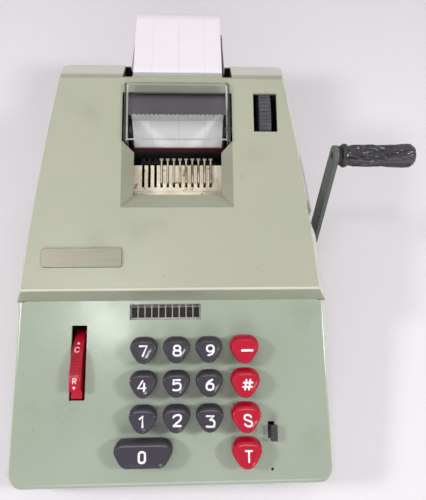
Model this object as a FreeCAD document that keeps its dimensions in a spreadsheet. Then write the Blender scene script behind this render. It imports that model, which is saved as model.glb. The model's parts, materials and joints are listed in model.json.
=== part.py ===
"""Ten-key adding machine with a hand crank and a printing mechanism, as an assembly of separate pieces.

Frame: +X to the operator's right, +Y to the rear, +Z up. The origin is the middle of the footprint,
on the surface that the rubber feet stand on. All lengths are in millimetres, all angles in degrees.

Three frames are used. "world" is the machine's own frame. "panel" lies on the keyboard panel, with its
origin under the middle row of keys, X to the right, Y up the slope and Z square to the panel. "hood"
lies on the top face of the rear hood in the same way, with its origin at the hood's front top edge.
"""
import FreeCAD, Part
import os
import re

import Sketcher

V = FreeCAD.Vector

SIZES = [
    # Covers
    ("body_width", 188, "width across both covers"),
    ("cover_wall", 2, "thickness of both covers"),
    ("cover_bottom", 12, "height of the covers' lower edge"),
    ("seam_gap", 0.3, "gap between the two covers"),
    ("panel_y", -74, "middle key row, at the panel"),
    ("panel_z", 60, "height of the panel at the middle key row"),
    ("panel_tilt", 13, "slope of the keyboard panel"),
    ("panel_front", 56.5, "middle key row to the panel's front edge"),
    ("lip_row", 49, "middle key row to the foot of the hood's lip"),
    ("front_corner", 9, "radius of the cover's front corners"),
    ("cover_edge", 3, "radius of the cover's top edges"),
    ("tongue_inset", 2.6, "side inset of the panel where it runs under the lip"),
    ("tongue_length", 6, "how far the panel runs under the lip"),
    # Hood
    ("lip_height", 18.5, "height of the hood's front lip"),
    ("hood_tilt", 15.4, "slope of the hood's top face"),
    ("hood_top_run", 127, "level length of the hood's top face"),
    ("bevel_run", 23, "level length of the rear bevel"),
    ("bevel_drop", 12.5, "drop of the rear bevel"),
    ("rear_rake", 5.3, "how far the rear wall's foot stands out"),
    ("top_inset", 7.7, "top face's edges inside the lip's ends, each side"),
    ("top_taper", 30.2, "how far the top face's plane draws in by the rear foot, each side"),
    ("waist_taper", 20, "how far the waist draws in by the rear foot, each side"),
    ("waist_tilt", 12, "slope of the waist line along the sides"),
    ("foot_taper", 15.5, "how far the lower edge draws in by the rear foot, each side"),
    ("side_bulge", 2.1, "how far each side curves out between lip and rear"),
    ("hood_edge", 2.5, "radius of the hood's top edges"),
    ("rear_corner", 6, "radius of the hood's rear corners"),
    ("pocket_wall", 1.5, "thickness of the walls round the hub's pocket"),
    # Print window
    ("print_x", 3.2, "middle of the print window and the paper"),
    ("window_width", 67.5, "print window, across"),
    ("window_low", 49, "hood origin to the window's front edge"),
    ("window_mid", 91, "hood origin to where the funnel ends"),
    ("window_high", 122.6, "hood origin to the window's rear edge"),
    ("funnel_depth", 11, "depth of the funnel below the top face"),
    ("funnel_side", 6.3, "how far each funnel side slopes in"),
    ("funnel_front", 11, "how far the funnel's front face slopes in"),
    ("funnel_rear", 3.7, "how far the funnel's sides are cut back at the rear"),
    ("wheel_reach", 7.6, "right frame's outer face to the paper wheel's middle"),
    ("wheel_slot_width", 14.6, "paper wheel's slot, across"),
    ("wheel_slot_low", 97, "hood origin to the slot's front edge"),
    ("wheel_slot_high", 122.2, "hood origin to the slot's rear edge"),
    ("paper_slot_width", 61, "rear paper slot, across"),
    ("paper_slot_depth", 5.5, "rear paper slot, front to rear"),
    ("paper_slot_back", 6.3, "rear edge of the top face to the rear paper slot"),
    # Keyboard
    ("key_pitch", 19, "spacing of the digit columns"),
    ("row_pitch", 19.2, "spacing of the key rows"),
    ("digit_x", 2.4, "middle digit column"),
    ("function_x", 42.2, "function key column"),
    ("zero_x", -16, "middle of the wide key"),
    ("zero_row", 37.4, "middle key row to the wide key"),
    ("cap_bottom", 4.4, "underside of the caps, above the panel"),
    ("cap_top", 11.4, "top face of the caps, above the panel"),
    ("cap_side", 21.7, "side of the digit cap's triangle, before rounding"),
    ("cap_corner", 4.6, "corner radius of the caps"),
    ("foot_corner", 6.2, "corner radius of the caps at the foot"),
    ("cap_draft", 0.84, "how far each cap flank leans in"),
    ("cap_back_draft", 1.3, "how far the caps' rear flank leans in"),
    ("function_scale", 1.06, "function caps against digit caps"),
    ("zero_width", 39.6, "wide cap at the rear, before rounding"),
    ("zero_depth", 14, "wide cap, front to rear"),
    ("cap_edge", 0.5, "slope round the caps' top face"),
    ("cap_ahead", 0.6, "how far the caps sit ahead of their stems"),
    ("stem_width", 6, "key stem, across"),
    ("stem_thick", 2.6, "key stem, front to rear"),
    ("stem_length", 25, "key stem, below the panel"),
    ("stem_clearance", 0.08, "key stem in its guides, each side"),
    ("panel_clearance", 0.7, "key stem in the panel, each side"),
    ("guide_thick", 1.5, "thickness of the guide plates"),
    ("guide_upper", 8, "panel to the upper guide plate's underside"),
    ("guide_lower", 21, "panel to the lower guide plate's underside"),
    ("guide_left", -36, "left edge of the guide plates"),
    ("guide_right", 53, "right edge of the guide plates"),
    ("guide_front", -50, "front edge of the guide plates"),
    ("guide_rear", 31, "rear edge of the guide plates"),
    ("post_radius", 2.5, "radius of the keyboard posts"),
    # Indicator, rocker and slide lever
    ("indicator_x", -4.65, "middle of the column indicator"),
    ("indicator_low", 37.4, "middle key row to the indicator's front edge"),
    ("indicator_depth", 9.4, "indicator opening, front to rear"),
    ("indicator_cell", 4.2, "spacing of the indicator's cells"),
    ("indicator_bar", 0.6, "width of the bars between the cells"),
    ("rocker_inset", 38.1, "cover's left side to the middle of the rocker"),
    ("rocker_thick", 6.4, "rocker, across"),
    ("rocker_slot_width", 9.1, "rocker slot, across"),
    ("rocker_slot_low", -9, "middle key row to the rocker slot's front edge"),
    ("rocker_slot_high", 34.4, "middle key row to the rocker slot's rear edge"),
    ("rocker_pivot_y", 2, "middle key row to the rocker's pivot"),
    ("rocker_pivot_depth", 26, "rocker's pivot, below the panel"),
    ("rocker_radius", 34.6, "radius of the rocker's rim"),
    ("rocker_front", 9.2, "angle of the rocker's rim ahead of its pivot"),
    ("rocker_rear", 60, "angle of the rocker's rim behind its pivot"),
    ("rocker_pin", 2, "radius of the rocker's pin"),
    ("lever_x", 57.5, "middle of the slide lever's slot"),
    ("lever_slot_width", 3.8, "slide lever's slot, across"),
    ("lever_slot_low", -31.8, "middle key row to the slot's front edge"),
    ("lever_slot_high", -22.5, "middle key row to the slot's rear edge"),
    ("lever_height", 5.6, "slide lever, above the panel"),
    # Badge plate
    ("badge_inset", 42, "hood's left side to the middle of the badge plate"),
    ("badge_row", 19, "hood origin to the badge plate's middle"),
    ("badge_width", 46, "badge plate, across"),
    ("badge_depth", 11.4, "badge plate, front to rear"),
    ("badge_thick", 1.4, "thickness of the badge plate"),
    # Base
    ("pan_floor", 7.4, "underside of the base pan"),
    ("pan_thick", 1.2, "thickness of the base pan"),
    ("pan_inset", 2.9, "pan walls inside the covers' outer face"),
    ("pan_rim", 21, "height of the pan's rim"),
    ("foot_radius", 8, "radius of the rubber feet"),
    ("foot_inset", 16, "feet from the pan's edges"),
    ("screw_inset_front", 32, "front cover screws, inside the cover's sides"),
    ("screw_y_front", -118, "front cover screws, front to rear"),
    ("screw_inset_rear", 18.5, "rear cover screws, inside the hood's lower corners"),
    ("screw_radius", 1.5, "radius of the cover screws"),
    ("screw_top", 18, "upper end of the cover screws"),
    # Frames and shafts
    ("frame_inset_left", 48, "hood's left side to the left frame's outer face"),
    ("frame_inset_right", 44, "hood's right side to the right frame's outer face"),
    ("frame_thick", 2, "thickness of the frames"),
    ("shaft_clearance", 0.05, "running clearance of shafts, each side"),
    ("deck_z", 76.5, "underside of the ribbon deck"),
    ("tie_back", 17, "rear wall to the upper tie rod"),
    ("tie_drop", 12, "rear bevel's lower edge down to the upper tie rod"),
    ("tie_low", 16, "height of the lower tie rods"),
    ("tie_radius", 2.5, "radius of the tie rods"),
    ("hook_z", 70, "height of the hook rail"),
    ("hook_rail_radius", 2, "radius of the hook rail"),
    ("crank_y", 22, "main shaft, front to rear"),
    ("crank_z", 36, "main shaft, height"),
    ("main_shaft_radius", 5, "radius of the main shaft"),
    ("platen_y", 87.2, "platen axis, front to rear"),
    ("platen_z", 90, "platen axis, height"),
    ("platen_radius", 16, "radius of the platen"),
    ("platen_shaft_radius", 3, "radius of the platen shaft"),
    ("platen_half", 30, "half the length of the platen"),
    ("paper_front", 155, "angle where the paper leaves the platen in front"),
    ("paper_rise", 16.8, "free paper above the platen in front"),
    ("paper_bend", 4.25, "front edge of the rear slot to the paper's bend"),
    ("web_slope", 3.6, "slope of the paper between the slot and the roll"),
    ("tear_front", 109.4, "hood origin to the tear bar's front edge"),
    ("wheel_radius", 30.2, "radius of the paper wheel"),
    ("wheel_thick", 7.4, "paper wheel, across"),
    ("wheel_teeth", 48, "ribs round the paper wheel"),
    ("feed_radius", 5, "radius of the feed rollers"),
    ("feed_shaft_radius", 2, "radius of the feed roller shaft"),
    ("type_y", 48, "type shaft, front to rear"),
    ("type_z", 42, "type shaft, height"),
    ("type_shaft_radius", 3, "radius of the type shaft"),
    ("type_first", -19.2, "first type bar from the left"),
    ("type_pitch", 3.93, "spacing of the type bars"),
    ("comb_depth", 19.3, "top face of the comb, below the hood's top face"),
    ("comb_front", 64.6, "hood origin to the comb's front edge"),
    ("comb_half", 28.4, "half the width of the comb"),
    ("comb_run", 17.3, "comb, front to rear"),
    ("hook_reach", 86, "hood origin to the hooks' rear ends"),
    ("register_y", 2, "register shaft, front to rear"),
    ("register_z", 66.4, "register shaft, height"),
    ("register_radius", 8, "radius of the register wheels"),
    ("register_shaft_radius", 2.5, "radius of the register shaft"),
    ("rack_z", 54, "middle height of the actuator racks"),
    ("rail_y", -31, "middle between the carriage rails"),
    ("rail_z", 36, "height of the carriage rails"),
    ("rail_gap", 14, "spacing of the carriage rails"),
    ("rail_radius", 2.5, "radius of the carriage rails"),
    ("carriage_left", -10, "left end of the pin carriage"),
    ("carriage_width", 37, "pin carriage, across"),
    # Crank
    ("crank_lean", 15.3, "how far the crank leans back at rest"),
    ("crank_reach", 88.3, "crank pivot to the grip's axis"),
    ("arm_gap", 0.6, "cover's right side to the crank arm"),
    ("arm_thick", 3, "thickness of the crank arm"),
    ("arm_hub_end", 8, "radius of the arm's lower end"),
    ("arm_grip_end", 6, "radius of the arm's upper end"),
    ("hub_radius", 6.8, "radius of the crank hub"),
    ("hub_length", 10, "length of the crank hub"),
    ("hub_pocket_depth", 12.3, "crank arm to the floor of the pocket for the hub"),
    ("hub_pocket_width", 15.5, "pocket for the hub, front to rear"),
    ("grip_length", 44, "length of the grip"),
    ("grip_radius", 7.2, "largest radius of the grip"),
    ("grip_waist", 6.3, "radius of the grip's waist"),
    ("spindle_radius", 2.5, "radius of the grip's spindle"),
    # Paper
    ("paper_width", 57, "width of the paper"),
    ("paper_thick", 0.3, "thickness of the paper strip's solid"),
    ("roll_back", 32, "rear wall to the paper roll's axis"),
    ("roll_drop", 15, "rear bevel's lower edge down to the paper roll's axis"),
    ("roll_radius", 19, "radius of the paper roll"),
    ("roll_bore", 5.5, "radius of the roll's bore"),
    ("roll_spindle_radius", 4, "radius of the roll spindle"),
    ("arm_sheet", 1.4, "thickness of the roll arms"),
    ("roll_arm_reach", 29.8, "middle of the paper to the roll arms"),
    ("arm_slot_width", 6.2, "slots for the roll arms, across"),
    ("arm_slot_out", 1.6, "roll arms to the middle of their slots"),
    ("arm_slot_drop", 26, "rear bevel's lower edge down to the end of the arms' slots"),
    # Ribbon
    ("spool_y", 35, "ribbon spools, front to rear"),
    ("spool_z", 81.2, "underside of the ribbon spools"),
    ("spool_reach", 50, "print middle to each ribbon spool"),
    ("spool_radius", 12.5, "radius of the ribbon spools"),
    ("spool_height", 14.6, "height of the ribbon spools"),
    ("spool_stud", 2, "radius of the spool studs"),
    ("ribbon_y", 70.2, "ribbon in front of the platen"),
    ("ribbon_turn", 38, "angle where the ribbon leaves each spool"),
    ("ribbon_reach", 35, "print middle to each ribbon guide post"),
    ("ribbon_low", 82.5, "lower edge of the ribbon"),
    ("ribbon_height", 12, "height of the ribbon"),
    ("ribbon_thick", 0.4, "thickness of the ribbon's solid"),
]

doc = FreeCAD.newDocument("adding_machine")
sheet = doc.addObject("Spreadsheet::Sheet", "Sizes")
for row, (alias, amount, meaning) in enumerate(SIZES, start=1):
    sheet.set(f"A{row}", alias)
    sheet.set(f"B{row}", str(amount))
    sheet.set(f"C{row}", meaning)
    sheet.setAlias(f"B{row}", alias)
doc.recompute()
ALIASES = {alias for alias, _, _ in SIZES}


# Expressions

WORD = r"[A-Za-z_]\w*"
DERIVED = {}


def bind(text):
    """An expression written with the sheet's names and the derived ones, as the document reads it."""
    text = str(text)
    while any(word in DERIVED for word in re.findall(WORD, text)):
        text = re.sub(WORD, lambda word: f"({DERIVED[word[0]]})" if word[0] in DERIVED else word[0], text)
    text = re.sub(r"\b(sin|cos|tan)\((\w+)\)", r"\1(\2 * 1deg)", text)
    return re.sub(WORD, lambda word: f"Sizes.{word[0]}" if word[0] in ALIASES else word[0], text)


gauge = doc.addObject("App::FeaturePython", "Gauge")
gauge.addProperty("App::PropertyFloat", "Reading")


def size(text):
    """The number that an expression stands for."""
    gauge.setExpression("Reading", bind(text))
    gauge.recompute()
    return gauge.Reading


def drive(item, path, text):
    """Ties a property of an object to the sheet."""
    item.setExpression(path, bind(text))


# Places

FRONT_Y = "(panel_y - panel_front * cos(panel_tilt))"
SEAM_Y = "(panel_y + lip_row * cos(panel_tilt))"
LIP_FOOT = "(panel_z + lip_row * sin(panel_tilt))"
LIP_TOP = f"({LIP_FOOT} + lip_height)"
REAR_TOP_Y = f"({SEAM_Y} + hood_top_run)"
REAR_TOP_Z = f"({LIP_TOP} + hood_top_run * tan(hood_tilt))"
BEVEL_Y = f"({REAR_TOP_Y} + bevel_run)"
BEVEL_Z = f"({REAR_TOP_Z} - bevel_drop)"
REAR_Y = f"({BEVEL_Y} + rear_rake)"
PAN_TOP = "(pan_floor + pan_thick)"
FRAMES = {
    "world": ("0", "0", "0", "0"),
    "panel": ("0", "panel_y", "panel_z", "panel_tilt"),
    "hood": ("0", SEAM_Y, LIP_TOP, "hood_tilt"),
    "arm": ("arm_inner", "crank_y", "crank_z", "-crank_lean"),
}
DERIVED.update({
    "top_front": "body_width - 2 * top_inset",
    "top_rear": "body_width - 2 * top_taper",
    "waist_rear": "body_width - 2 * waist_taper",
    "foot_rear": "body_width - 2 * foot_taper",
    "frame_left": "frame_inset_left - body_width / 2",
    "frame_right": "body_width / 2 - frame_inset_right - frame_thick",
    "wheel_slot_x": "frame_right + frame_thick + wheel_reach",
    "rocker_x": "rocker_inset - body_width / 2",
    "badge_x": "badge_inset - body_width / 2",
    "screw_x_front": "body_width / 2 - screw_inset_front",
    "screw_x_rear": "foot_rear / 2 - screw_inset_rear",
    "arm_inner": "body_width / 2 + arm_gap",
    "hub_inner": "arm_inner - hub_length",
    "hub_pocket_x": "arm_inner - hub_pocket_depth",
    "tie_y": f"{REAR_Y} - tie_back",
    "tie_z": f"{BEVEL_Z} - tie_drop",
    "roll_y": f"{REAR_Y} + roll_back",
    "roll_z": f"{BEVEL_Z} - roll_drop",
    "arm_slot_low": f"{BEVEL_Z} - arm_slot_drop",
    "paper_slot_y": f"{REAR_TOP_Y} + paper_slot_back",
    "paper_run": "paper_slot_y + paper_bend - platen_y",
    "paper_lift": f"{REAR_TOP_Z} - (paper_slot_back + paper_bend) * bevel_drop / bevel_run - platen_z",
    "paper_wrap": "platen_radius + 0.1 + paper_thick",
    "paper_climb": "sqrt(paper_run ^ 2 + paper_lift ^ 2 - paper_wrap ^ 2)",
    "paper_rear": "(atan(paper_lift / paper_run) - atan(paper_climb / paper_wrap)) / 1deg",
    "origin_x": "(arm_inner + arm_thick + 1.9 + grip_length - body_width / 2) / 2",
    "origin_y": f"({FRONT_Y} + roll_y + roll_radius) / 2",
})


def panel_y(along, above="0"):
    """World Y of a point given in the panel frame."""
    return f"(panel_y + ({along}) * cos(panel_tilt) - ({above}) * sin(panel_tilt))"


def panel_z(along, above="0"):
    """World Z of a point given in the panel frame."""
    return f"(panel_z + ({along}) * sin(panel_tilt) + ({above}) * cos(panel_tilt))"


def hood_y(along, above="0"):
    """World Y of a point given in the hood frame."""
    return f"({SEAM_Y} + ({along}) * cos(hood_tilt) - ({above}) * sin(hood_tilt))"


def hood_z(along, above="0"):
    """World Z of a point given in the hood frame."""
    return f"({LIP_TOP} + ({along}) * sin(hood_tilt) + ({above}) * cos(hood_tilt))"


def place(item, frame, middle=("0", "0")):
    """Puts a piece that was modelled in one of the frames where that frame lies, seen from a middle."""
    x, y, z, tilt = FRAMES[frame]
    item.Placement = FreeCAD.Placement(V(0, 0, 0), FreeCAD.Rotation(V(1, 0, 0), 10))
    drive(item, "Placement.Base.x", f"({x}) - {middle[0]}")
    drive(item, "Placement.Base.y", f"({y}) - {middle[1]}")
    drive(item, "Placement.Base.z", z)
    drive(item, "Placement.Rotation.Angle", f"({tilt}) * 1deg")
    return item


# Solids from primitives

def box(x, y, z):
    """A box between two limits on each axis."""
    item = doc.addObject("Part::Box", "Block")
    for axis, side, (low, high) in zip("xyz", ("Length", "Width", "Height"), (x, y, z)):
        drive(item, f"Placement.Base.{axis}", low)
        drive(item, side, f"({high}) - ({low})")
    return item


def rod(axis, radius, start, end, across, up):
    """A round bar along one axis, from start to end; across and up place its middle."""
    item = doc.addObject("Part::Cylinder", "Rod")
    drive(item, "Radius", radius)
    drive(item, "Height", f"({end}) - ({start})")
    turn = {"x": (V(0, 1, 0), 90), "y": (V(1, 0, 0), -90), "z": (V(0, 0, 1), 0)}[axis]
    item.Placement = FreeCAD.Placement(V(0, 0, 0), FreeCAD.Rotation(*turn))
    places = {"x": (start, across, up), "y": (across, start, up), "z": (across, up, start)}[axis]
    for letter, text in zip("xyz", places):
        drive(item, f"Placement.Base.{letter}", text)
    return item


def joined(items):
    """Several solids made into one."""
    if len(items) == 1:
        return items[0]
    item = doc.addObject("Part::MultiFuse", "Joined")
    item.Shapes = items
    return item


def cut(base, tools):
    """A solid with other solids taken out of it."""
    item = doc.addObject("Part::Cut", "Cut")
    item.Base = base
    item.Tool = joined(tools)
    return item


def common(first, second):
    """The space that two solids share."""
    item = doc.addObject("Part::Common", "Shared")
    item.Base = first
    item.Tool = second
    return item


def together(items):
    """Separate solids kept as one group."""
    item = doc.addObject("Part::Compound", "Group")
    item.Links = items
    return item


# Solids from sketches

PLANES = {"plan": "XY_Plane", "side": "YZ_Plane", "front": "XZ_Plane"}


def new_body():
    """An empty body."""
    return doc.addObject("PartDesign::Body", "Body")


def blank_sketch(body, plane, height="0", tilt="0", shift="0"):
    """An empty sketch on one of the body's own planes, raised, tilted or shifted by an offset."""
    sketch = body.newObject("Sketcher::SketchObject", "Outline")
    support = next(f for f in body.Origin.OriginFeatures if f.Role == PLANES[plane])
    sketch.AttachmentSupport = [(support, "")]
    sketch.MapMode = "FlatFace"
    if tilt != "0":
        sketch.AttachmentOffset = FreeCAD.Placement(V(0, 0, 0), FreeCAD.Rotation(V(1, 0, 0), 10))
        drive(sketch, "AttachmentOffset.Rotation.Angle", f"({tilt}) * 1deg")
    drive(sketch, "AttachmentOffset.Base.y", shift)
    drive(sketch, "AttachmentOffset.Base.z", height)
    return sketch


def pin_point(sketch, index, end, spot):
    """Ties one point of a sketch to a place given by two expressions."""
    for kind, text in zip(("DistanceX", "DistanceY"), spot):
        number = sketch.addConstraint(Sketcher.Constraint(kind, -1, 1, index, end, size(text)))
        drive(sketch, f"Constraints[{number}]", text)


def arc_through(start, middle, end):
    """An arc through three points, and whether the sketch sees it as running from end to start."""
    clockwise = (middle - start).cross(end - middle).z < 0
    first, last = (end, start) if clockwise else (start, end)
    return Part.ArcOfCircle(first, middle, last), clockwise


def outline(body, plane, spots, height="0", tilt="0", shift="0", bulges=None):
    """A closed outline through the given spots; bulges maps an edge's number to its middle spot."""
    sketch = blank_sketch(body, plane, height, tilt, shift)
    bulges = bulges or {}
    points = [V(size(x), size(y), 0) for x, y in spots]
    count = len(points)
    ends = []
    for index, start in enumerate(points):
        end = points[(index + 1) % count]
        clockwise = False
        if index in bulges:
            middle = V(size(bulges[index][0]), size(bulges[index][1]), 0)
            edge, clockwise = arc_through(start, middle, end)
        else:
            edge = Part.LineSegment(start, end)
        sketch.addGeometry(edge, False)
        ends.append((2, 1) if clockwise else (1, 2))
    for index in range(count):
        following = (index + 1) % count
        meeting = Sketcher.Constraint("Coincident", index, ends[index][1], following, ends[following][0])
        sketch.addConstraint(meeting)
    for index in range(count):
        pin_point(sketch, index, ends[index][0], spots[index])
    for index, spot in bulges.items():
        middle = sketch.addGeometry(Part.Point(V(size(spot[0]), size(spot[1]), 0)), True)
        sketch.addConstraint(Sketcher.Constraint("PointOnObject", middle, 1, index))
        pin_point(sketch, middle, 1, spot)
    return sketch


def ring(body, plane, radius, spot=("0", "0"), height="0"):
    """A circle tied to a radius and a middle."""
    sketch = blank_sketch(body, plane, height)
    middle = V(size(spot[0]), size(spot[1]), 0)
    sketch.addGeometry(Part.Circle(middle, V(0, 0, 1), size(radius)), False)
    pin_point(sketch, 0, 3, spot)
    number = sketch.addConstraint(Sketcher.Constraint("Radius", 0, size(radius)))
    drive(sketch, f"Constraints[{number}]", radius)
    return sketch


def pad(body, sketch, length, side="One side", back=False):
    """A pad of a sketch, on one side or on both sides of its plane."""
    item = body.newObject("PartDesign::Pad", "Pad")
    item.Profile = sketch
    item.SideType = side
    item.Reversed = back
    drive(item, "Length", length)
    return item


def pocket(body, sketch, length, side="Symmetric", back=False):
    """A pocket cut with a sketch."""
    item = body.newObject("PartDesign::Pocket", "Pocket")
    item.Profile = sketch
    item.SideType = side
    item.Reversed = back
    drive(item, "Length", length)
    return item


def loft(body, first, others):
    """A ruled loft from one outline through others."""
    item = body.newObject("PartDesign::AdditiveLoft", "Loft")
    item.Profile = first
    item.Sections = others
    item.Ruled = True
    return item


def turned(body, sketch, axis):
    """A full turn of a sketch about one of its own axes."""
    item = body.newObject("PartDesign::Revolution", "Turn")
    item.Profile = sketch
    item.ReferenceAxis = (sketch, [axis])
    item.Angle = 360
    return item


def edge_names(shape, wanted):
    """Names of the edges that pass a test."""
    return [f"Edge{number}" for number, edge in enumerate(shape.Edges, start=1) if wanted(edge)]


def rounded(body, radius, wanted):
    """A fillet on the edges of the body's last feature that pass a test."""
    doc.recompute()
    base = body.Tip
    item = body.newObject("PartDesign::Fillet", "Round")
    item.Base = (base, edge_names(base.Shape, wanted))
    drive(item, "Radius", radius)
    return item


def is_upright(edge):
    """True for a straight edge that climbs more than it runs."""
    low, high = edge.BoundBox.ZMin, edge.BoundBox.ZMax
    return high - low > 0.6 * edge.Length


def moved(item, frame):
    """A solid that was modelled in one of the frames, put where that frame lies."""
    return place(together([item]), frame)


PIECES = {}


def piece(name, item, frame="world"):
    """Names a finished sub-part and puts it in its frame, with the middle of the machine's box at the origin."""
    if item.TypeId != "Part::Compound":
        item = together([item])
    place(item, frame, ("origin_x", "origin_y"))
    item.Label = name
    PIECES[name] = item


# Covers

def panel_line(y, drop):
    """Height of the panel's plane at a level distance, lowered square to itself."""
    return f"(panel_z + (({y}) - panel_y) * tan(panel_tilt) - ({drop}) / cos(panel_tilt))"


def cover_form(inset, rear):
    """The keyboard cover's solid form, or the space inside it."""
    body = new_body()
    front = f"({FRONT_Y} + {inset})"
    low = f"cover_bottom - {inset}"
    spots = [(front, low), (front, panel_line(front, inset)), (rear, panel_line(rear, inset)), (rear, low)]
    pad(body, outline(body, "side", spots), f"body_width - 2 * {inset}", "Symmetric")
    nearest = size(front) + 1
    rounded(body, f"front_corner - {inset}", lambda e: is_upright(e) and e.CenterOfMass.y < nearest)
    return body


def on_slope(edge, start_y, start_z, tilt):
    """True for an edge that lies in a sloping plane."""
    slope = FreeCAD.Rotation(V(1, 0, 0), size(tilt)).multVec(V(0, 0, 1))
    origin = V(0, size(start_y), size(start_z))
    return all(abs((vertex.Point - origin).dot(slope)) < 0.02 for vertex in edge.Vertexes)


def is_crosswise(edge):
    """True for an edge that runs along X."""
    box_of = edge.BoundBox
    return box_of.XLength > 0.9 * edge.Length


KEYS = {
    "key_7": ("digit_x - key_pitch", "row_pitch"),
    "key_8": ("digit_x", "row_pitch"),
    "key_9": ("digit_x + key_pitch", "row_pitch"),
    "key_4": ("digit_x - key_pitch", "0"),
    "key_5": ("digit_x", "0"),
    "key_6": ("digit_x + key_pitch", "0"),
    "key_1": ("digit_x - key_pitch", "-row_pitch"),
    "key_2": ("digit_x", "-row_pitch"),
    "key_3": ("digit_x + key_pitch", "-row_pitch"),
    "key_0": ("zero_x", "-zero_row"),
    "key_minus": ("function_x", "row_pitch"),
    "key_nonadd": ("function_x", "0"),
    "key_subtotal": ("function_x", "-row_pitch"),
    "key_total": ("function_x", "-2 * row_pitch"),
}


def about(middle, half):
    """The two limits of a span about its middle."""
    return f"({middle}) - ({half})", f"({middle}) + ({half})"


def stem_holes(clearance, low, high):
    """Openings for all key stems, in the panel frame."""
    return [
        box(about(x, f"stem_width / 2 + {clearance}"), about(along, f"stem_thick / 2 + {clearance}"), (low, high))
        for x, along in KEYS.values()
    ]


def keyboard_cover():
    """The front cover with the keyboard panel."""
    rear = f"({SEAM_Y} - seam_gap)"
    outer = cover_form("0", rear)
    rear_limit = size(rear) - 0.5
    rounded(outer, "cover_edge", lambda e: on_slope(e, "panel_y", "panel_z", "panel_tilt")
            and e.CenterOfMass.y < rear_limit)
    shell = cut(outer, [cover_form("cover_wall", f"({SEAM_Y} + 5)")])
    half = "(body_width / 2 - cover_wall - tongue_inset)"
    tongue = box(about("0", half), ("lip_row - 4", "lip_row + tongue_length"), ("-cover_wall", "0"))
    posts = [
        rod("z", "post_radius + 1", PAN_TOP, panel_line(y, "cover_wall / 2"), x, y)
        for x, y in ((f"{side} * screw_x_front", "screw_y_front") for side in (-1, 1))
    ]
    drills = [
        rod("z", "screw_radius", f"{PAN_TOP} - 1", "screw_top", x, y)
        for x, y in ((f"{side} * screw_x_front", "screw_y_front") for side in (-1, 1))
    ]
    openings = stem_holes("panel_clearance", "-6", "6")
    openings.append(box(about("indicator_x", INDICATOR_HALF), INDICATOR_SPAN, ("-6", "6")))
    openings.append(box(about("rocker_x", "rocker_slot_width / 2"), ("rocker_slot_low", "rocker_slot_high"),
                        ("-6", "6")))
    openings.append(box(about("lever_x", "lever_slot_width / 2"), ("lever_slot_low", "lever_slot_high"),
                        ("-6", "6")))
    openings.append(rod("z", "0.8", "-6", "6", "lever_x", "lever_slot_low - 17"))
    solid = joined([shell, moved(tongue, "panel")] + posts)
    return cut(solid, drills + [moved(joined(openings), "panel")])


INDICATOR_HALF = "(5 * indicator_cell + 0.4)"
INDICATOR_SPAN = ("indicator_low", "indicator_low + indicator_depth")


def hood_form(inset):
    """The hood's solid form, or the space inside it."""
    body = new_body()
    front = f"({SEAM_Y} + {inset})"
    rear = f"({REAR_Y} + 1)"
    levels = [
        ("body_width", "foot_rear", f"cover_bottom - {inset}", "0"),
        ("body_width", "waist_rear", LIP_FOOT, "waist_tilt"),
        ("top_front", "top_rear", f"{LIP_TOP} - {inset} / cos(hood_tilt)", "hood_tilt"),
    ]
    sections = []
    for front_width, rear_width, height, tilt in levels:
        low = f"(({front} - {SEAM_Y}) / cos({tilt}))"
        high = f"(({rear} - {SEAM_Y}) / cos({tilt}))"
        near = f"({front_width} / 2 - {inset})"
        far = f"({rear_width} / 2 - {inset})"
        spots = [(f"-{near}", low), (near, low), (far, high), (f"-{far}", high)]
        middle = f"(({low} + {high}) / 2)"
        bulge = f"(({near} + {far}) / 2 + side_bulge)"
        bulges = {1: (bulge, middle), 3: (f"-{bulge}", middle)}
        sections.append(outline(body, "plan", spots, height, tilt, SEAM_Y, bulges))
    loft(body, sections[0], sections[1:])
    spots = [
        (f"{REAR_TOP_Y} - 0.12 * {inset}", f"{REAR_TOP_Z} - 1.07 * {inset}"),
        (f"{BEVEL_Y} - 0.97 * {inset}", f"{BEVEL_Z} - 0.61 * {inset}"),
        (f"{REAR_Y} - {inset}", f"cover_bottom - {inset} - 1"),
        (f"{REAR_Y} + 40", f"cover_bottom - {inset} - 1"),
        (f"{REAR_Y} + 40", f"{REAR_TOP_Z} + 40"),
        (f"{REAR_TOP_Y} - 0.12 * {inset}", f"{REAR_TOP_Z} + 40"),
    ]
    pocket(body, outline(body, "side", spots), "2 * body_width")
    doc.recompute()
    return body


def tapered(low, high, low_height, high_height):
    """A loft between two rectangles, each given as ((x0, x1), (y0, y1))."""
    body = new_body()
    sections = []
    for (x, y), height in ((low, low_height), (high, high_height)):
        spots = [(x[0], y[0]), (x[1], y[0]), (x[1], y[1]), (x[0], y[1])]
        sections.append(outline(body, "plan", spots, height))
    loft(body, sections[0], sections[1:])
    return body


WINDOW_X = about("print_x", "window_width / 2")
NOTCH_Y = about("crank_y", "hub_pocket_width / 2")


def funnel(grow, rear_extra):
    """The tapered frame round the print window's front half, or the space inside it."""
    top = (about("print_x", f"window_width / 2 + {grow}"), (f"window_low - {grow}", f"window_mid + {rear_extra}"))
    bottom = (
        about("print_x", f"window_width / 2 - funnel_side + {grow}"),
        (f"window_low + funnel_front - {grow}", f"window_mid - funnel_rear + {rear_extra}"),
    )
    return tapered(bottom, top, "-funnel_depth", "0")


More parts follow.
